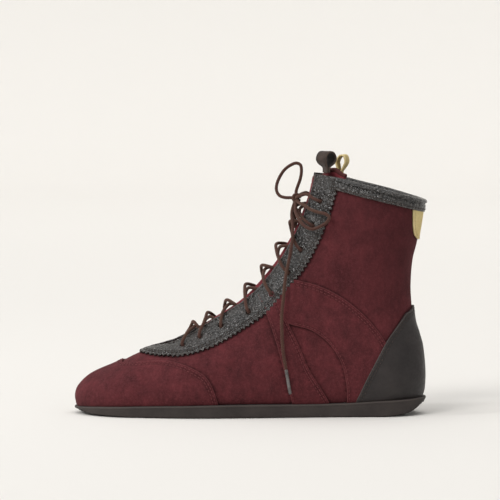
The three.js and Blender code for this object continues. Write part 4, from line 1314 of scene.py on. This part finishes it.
TAIL_MEDIAL = [
    (34.8, 0.2, 163.6), (33.6, 1.6, 160.4), (32.4, 8, 155), (34.4, 16, 149.4), (35.6, 22.6, 140), (36, 27.4, 128),
    (35, 30.4, 114), (34, 32.8, 100), (33, 34.6, 86), (33, 35.6, 74), (34.6, 36, 61), (36.4, 36.4, 48)]
AGLET_GAP = 0.3
AGLET_PROFILE = [
    (0.0, 1.0), (0.25, 1.2), (0.7, 1.28), (6, 1.28), (6.3, 1.18), (6.7, 1.18), (7.0, 1.28), (17.6, 1.22),
    (18.6, 1.1), (19.0, 0.8)]
BRAID_STRANDS, BRAID_PITCH, BRAID_DEPTH = 5, 1.9, 0.17


def sweep_frames(path):
    tangent = np.gradient(path, axis=0)
    tangent /= np.linalg.norm(tangent, axis=1, keepdims=True)
    up = np.cross(tangent[0], [0.3, 0.2, 1.0])
    ups = []
    for t in tangent:
        up = up - np.dot(up, t) * t
        up = up / np.linalg.norm(up)
        ups.append(up)
    ups = np.array(ups)
    return tangent, ups, np.cross(tangent, ups)


def tube(name, path, radius, material, node=None, sides=12, braid=False):
    """A tube along a dense path. Radius is a number or one value per point."""
    path = np.asarray(path, float)
    _, up, across = sweep_frames(path)
    s = lengths(path)
    turn = 2 * np.pi * np.arange(sides) / sides
    radius = np.broadcast_to(np.asarray(radius, float), (len(path),))
    r = np.repeat(radius[:, None], sides, axis=1)
    shade = np.full(r.shape, 0.6)
    if braid:
        a = BRAID_STRANDS * turn[None, :] / (2 * np.pi) + s[:, None] / BRAID_PITCH
        b = BRAID_STRANDS * turn[None, :] / (2 * np.pi) - s[:, None] / BRAID_PITCH
        strand = np.abs(np.sin(np.pi * a) * np.sin(np.pi * b)) ** 0.7
        r = r + BRAID_DEPTH * (strand - 0.45)
        # Painted shade: the valleys between the braid's strands get a low value, which the lace's colour turns
        # dark.
        shade = 0.12 + 0.88 * strand
    points = path[:, None, :] + r[..., None] * (
        np.cos(turn)[None, :, None] * up[:, None, :] + np.sin(turn)[None, :, None] * across[:, None, :])
    n = len(path)
    points, shade = points.reshape(-1, 3), shade.ravel()
    faces = [(j * sides + i, j * sides + (i + 1) % sides, (j + 1) * sides + (i + 1) % sides, (j + 1) * sides + i)
             for j in range(n - 1) for i in range(sides)]
    faces += [tuple(range(sides))[::-1], tuple((n - 1) * sides + i for i in range(sides))]
    return make(name, points, faces, material, node, "boot", shade=shade)


LACE_STEP = 0.36
LACE_SIDES = 20


def over_saddle(y, z, offset):
    """A point above the boot's front, y out from its middle at this height."""
    side = -1.0 if y < 0 else 1.0
    angle = float(throat_angle(np.array([abs(y)]), np.array([z]), side)[0])
    angle = -angle * side
    p = skin(np.array([angle]), np.array([z]))[0]
    n = normals(np.array([angle]), np.array([z]))[0]
    return p + n * offset


def crossing(side, k, crown):
    low, high = EYELET_HEIGHTS[k], EYELET_HEIGHTS[k + 1]
    rise = TOP_CROWN_RISE if k == EYELET_COUNT - 2 else CROWN_RISE

    def at(share, y, offset):
        return over_saddle(side * y, mix(low, high, share) + rise * (1 - (y / EYELET_HALF_SPAN) ** 2), offset)

    return [
        at(0, 21, INSIDE + 1.6), at(0, 21, OUTSIDE - 1.1), at(0.06, 18.5, OUTSIDE + 0.4),
        at(0.2, 13, OUTSIDE + 0.5), at(0.33, 7, mix(OUTSIDE, crown, 0.5)), at(0.5, 0, crown), at(0.67, -6.5, mix(INSIDE, crown, 0.62)),
        at(0.8, -10.4, INSIDE), at(0.92, -17.5, INSIDE - 0.2)]


def lace_half(start):
    """One end of the lace, from the middle of the bottom bar up to the knot."""
    low = EYELET_HEIGHTS[0]
    points = [
        over_saddle(start * 0.6, low - 3, INSIDE), over_saddle(start * 9, low - 3, INSIDE),
        over_saddle(start * 18, low - 1, INSIDE - 0.6)]
    side = start
    crown = OVER_CROWN if start > 0 else UNDER_CROWN
    for k in range(EYELET_COUNT - 1):
        points += crossing(side, k, crown)
        side = -side
    top = EYELET_HEIGHTS[-1]
    points += [
        over_saddle(side * 21, top, INSIDE + 1.6), over_saddle(side * 21, top, OUTSIDE - 1.2),
        over_saddle(side * 18, top + 1.5, OUTSIDE + 0.5), over_saddle(side * 12, top + 4, OUTSIDE + 1)]
    x, y, z = KNOT_CENTRE
    points.append(np.array([x + 0.5, y + side * (KNOT_HALF_WIDTH + 1.7), z + 1]))
    return resample(spline(points, 14), LACE_STEP)


def cord_path(points):
    return resample(spline(points, 14), LACE_STEP)


def lace_piece(name, path, node):
    return tube(name, path, LACE_RADIUS, LACE_CLOTH, node, sides=LACE_SIDES, braid=True)


def aglet(name, tail, node):
    """A lace tip, straight on from the end of its tail."""
    path = cord_path(tail)
    way = (path[-1] - path[-2]) / np.linalg.norm(path[-1] - path[-2])
    start = np.array(tail[-1], float) + way * AGLET_GAP
    line = np.array([start + way * s for s, _ in AGLET_PROFILE])
    return tube(name, line, [r for _, r in AGLET_PROFILE], AGLET_PLASTIC, node, sides=20)


def knot():
    """The bow's knot: two wraps of lace round a tight core, each a tube of its own."""
    c = KNOT_CENTRE
    wraps = []
    for tilt, radius, y in ((0.25, 2.5, -0.9), (-0.35, 2.45, 1.15)):
        ring = []
        for t in np.linspace(0, 2 * np.pi * 0.93, 60):
            ring.append(c + np.array([radius * math.cos(t), y + tilt * radius * math.sin(t), 2.6 * math.sin(t)]))
        wraps.append(np.array(ring))
    core = [c + np.array(p) for p in ((0.6, -4.6, -0.4), (0.2, -2.2, 0.5), (0, 0, -0.3), (-0.2, 2.2, 0.4),
                                      (0.3, 4.4, 0.2))]
    wraps.append(resample(spline(core, 12), LACE_STEP))
    for i, path in enumerate(wraps):
        radius = 1.25 if i < 2 else 1.5
        tube(f"knot_{'abc'[i]}", resample(path, LACE_STEP), radius, LACE_CLOTH,
             "lace_knot" if i == 0 else None, sides=LACE_SIDES, braid=True)


def free_cord(name, points, node, every, **facts):
    path = cord_path(points)
    piece = lace_piece(name, path, node)


def laces():
    lace_piece("lace_lateral_cord", lace_half(-1), "lace_lateral")
    lace_piece("lace_medial_cord", lace_half(1), "lace_medial")
    knot()
    ends = (("lateral", TAIL_LATERAL, BOW_LOOP_LATERAL), ("medial", TAIL_MEDIAL, BOW_LOOP_MEDIAL))
    for side, tail, loop in ends:
        tip = aglet(f"aglet_{side}_tip", tail, f"aglet_{side}")
        free_cord(f"lace_tail_{side}_cord", tail, f"lace_tail_{side}", 4, far_end="fitting", lay="hanging",
                  with_pieces=[tip])
        free_cord(f"bow_loop_{side}_cord", loop, f"bow_loop_{side}", 2, far_end="knot", lay="loose")


# ---- everything, in order ------------------------------------------------------------------------------------
camera()
laces()
studio()
floor()
outsole()
inner_soles()
for side_name in SIDES:
    base_pieces(side_name)
    instep_strap(side_name)
    ankle_overlay(side_name)
    facing(side_name)
toe_cap()
heel_counter()
collar_binding()
back_patch()
tongue()
pull_loop("pull_loop_lateral", LATERAL_LOOP, BROWN_STRAP, DARK_THREAD)
pull_loop("pull_loop_medial", MEDIAL_LOOP, YELLOW, PALE_THREAD)
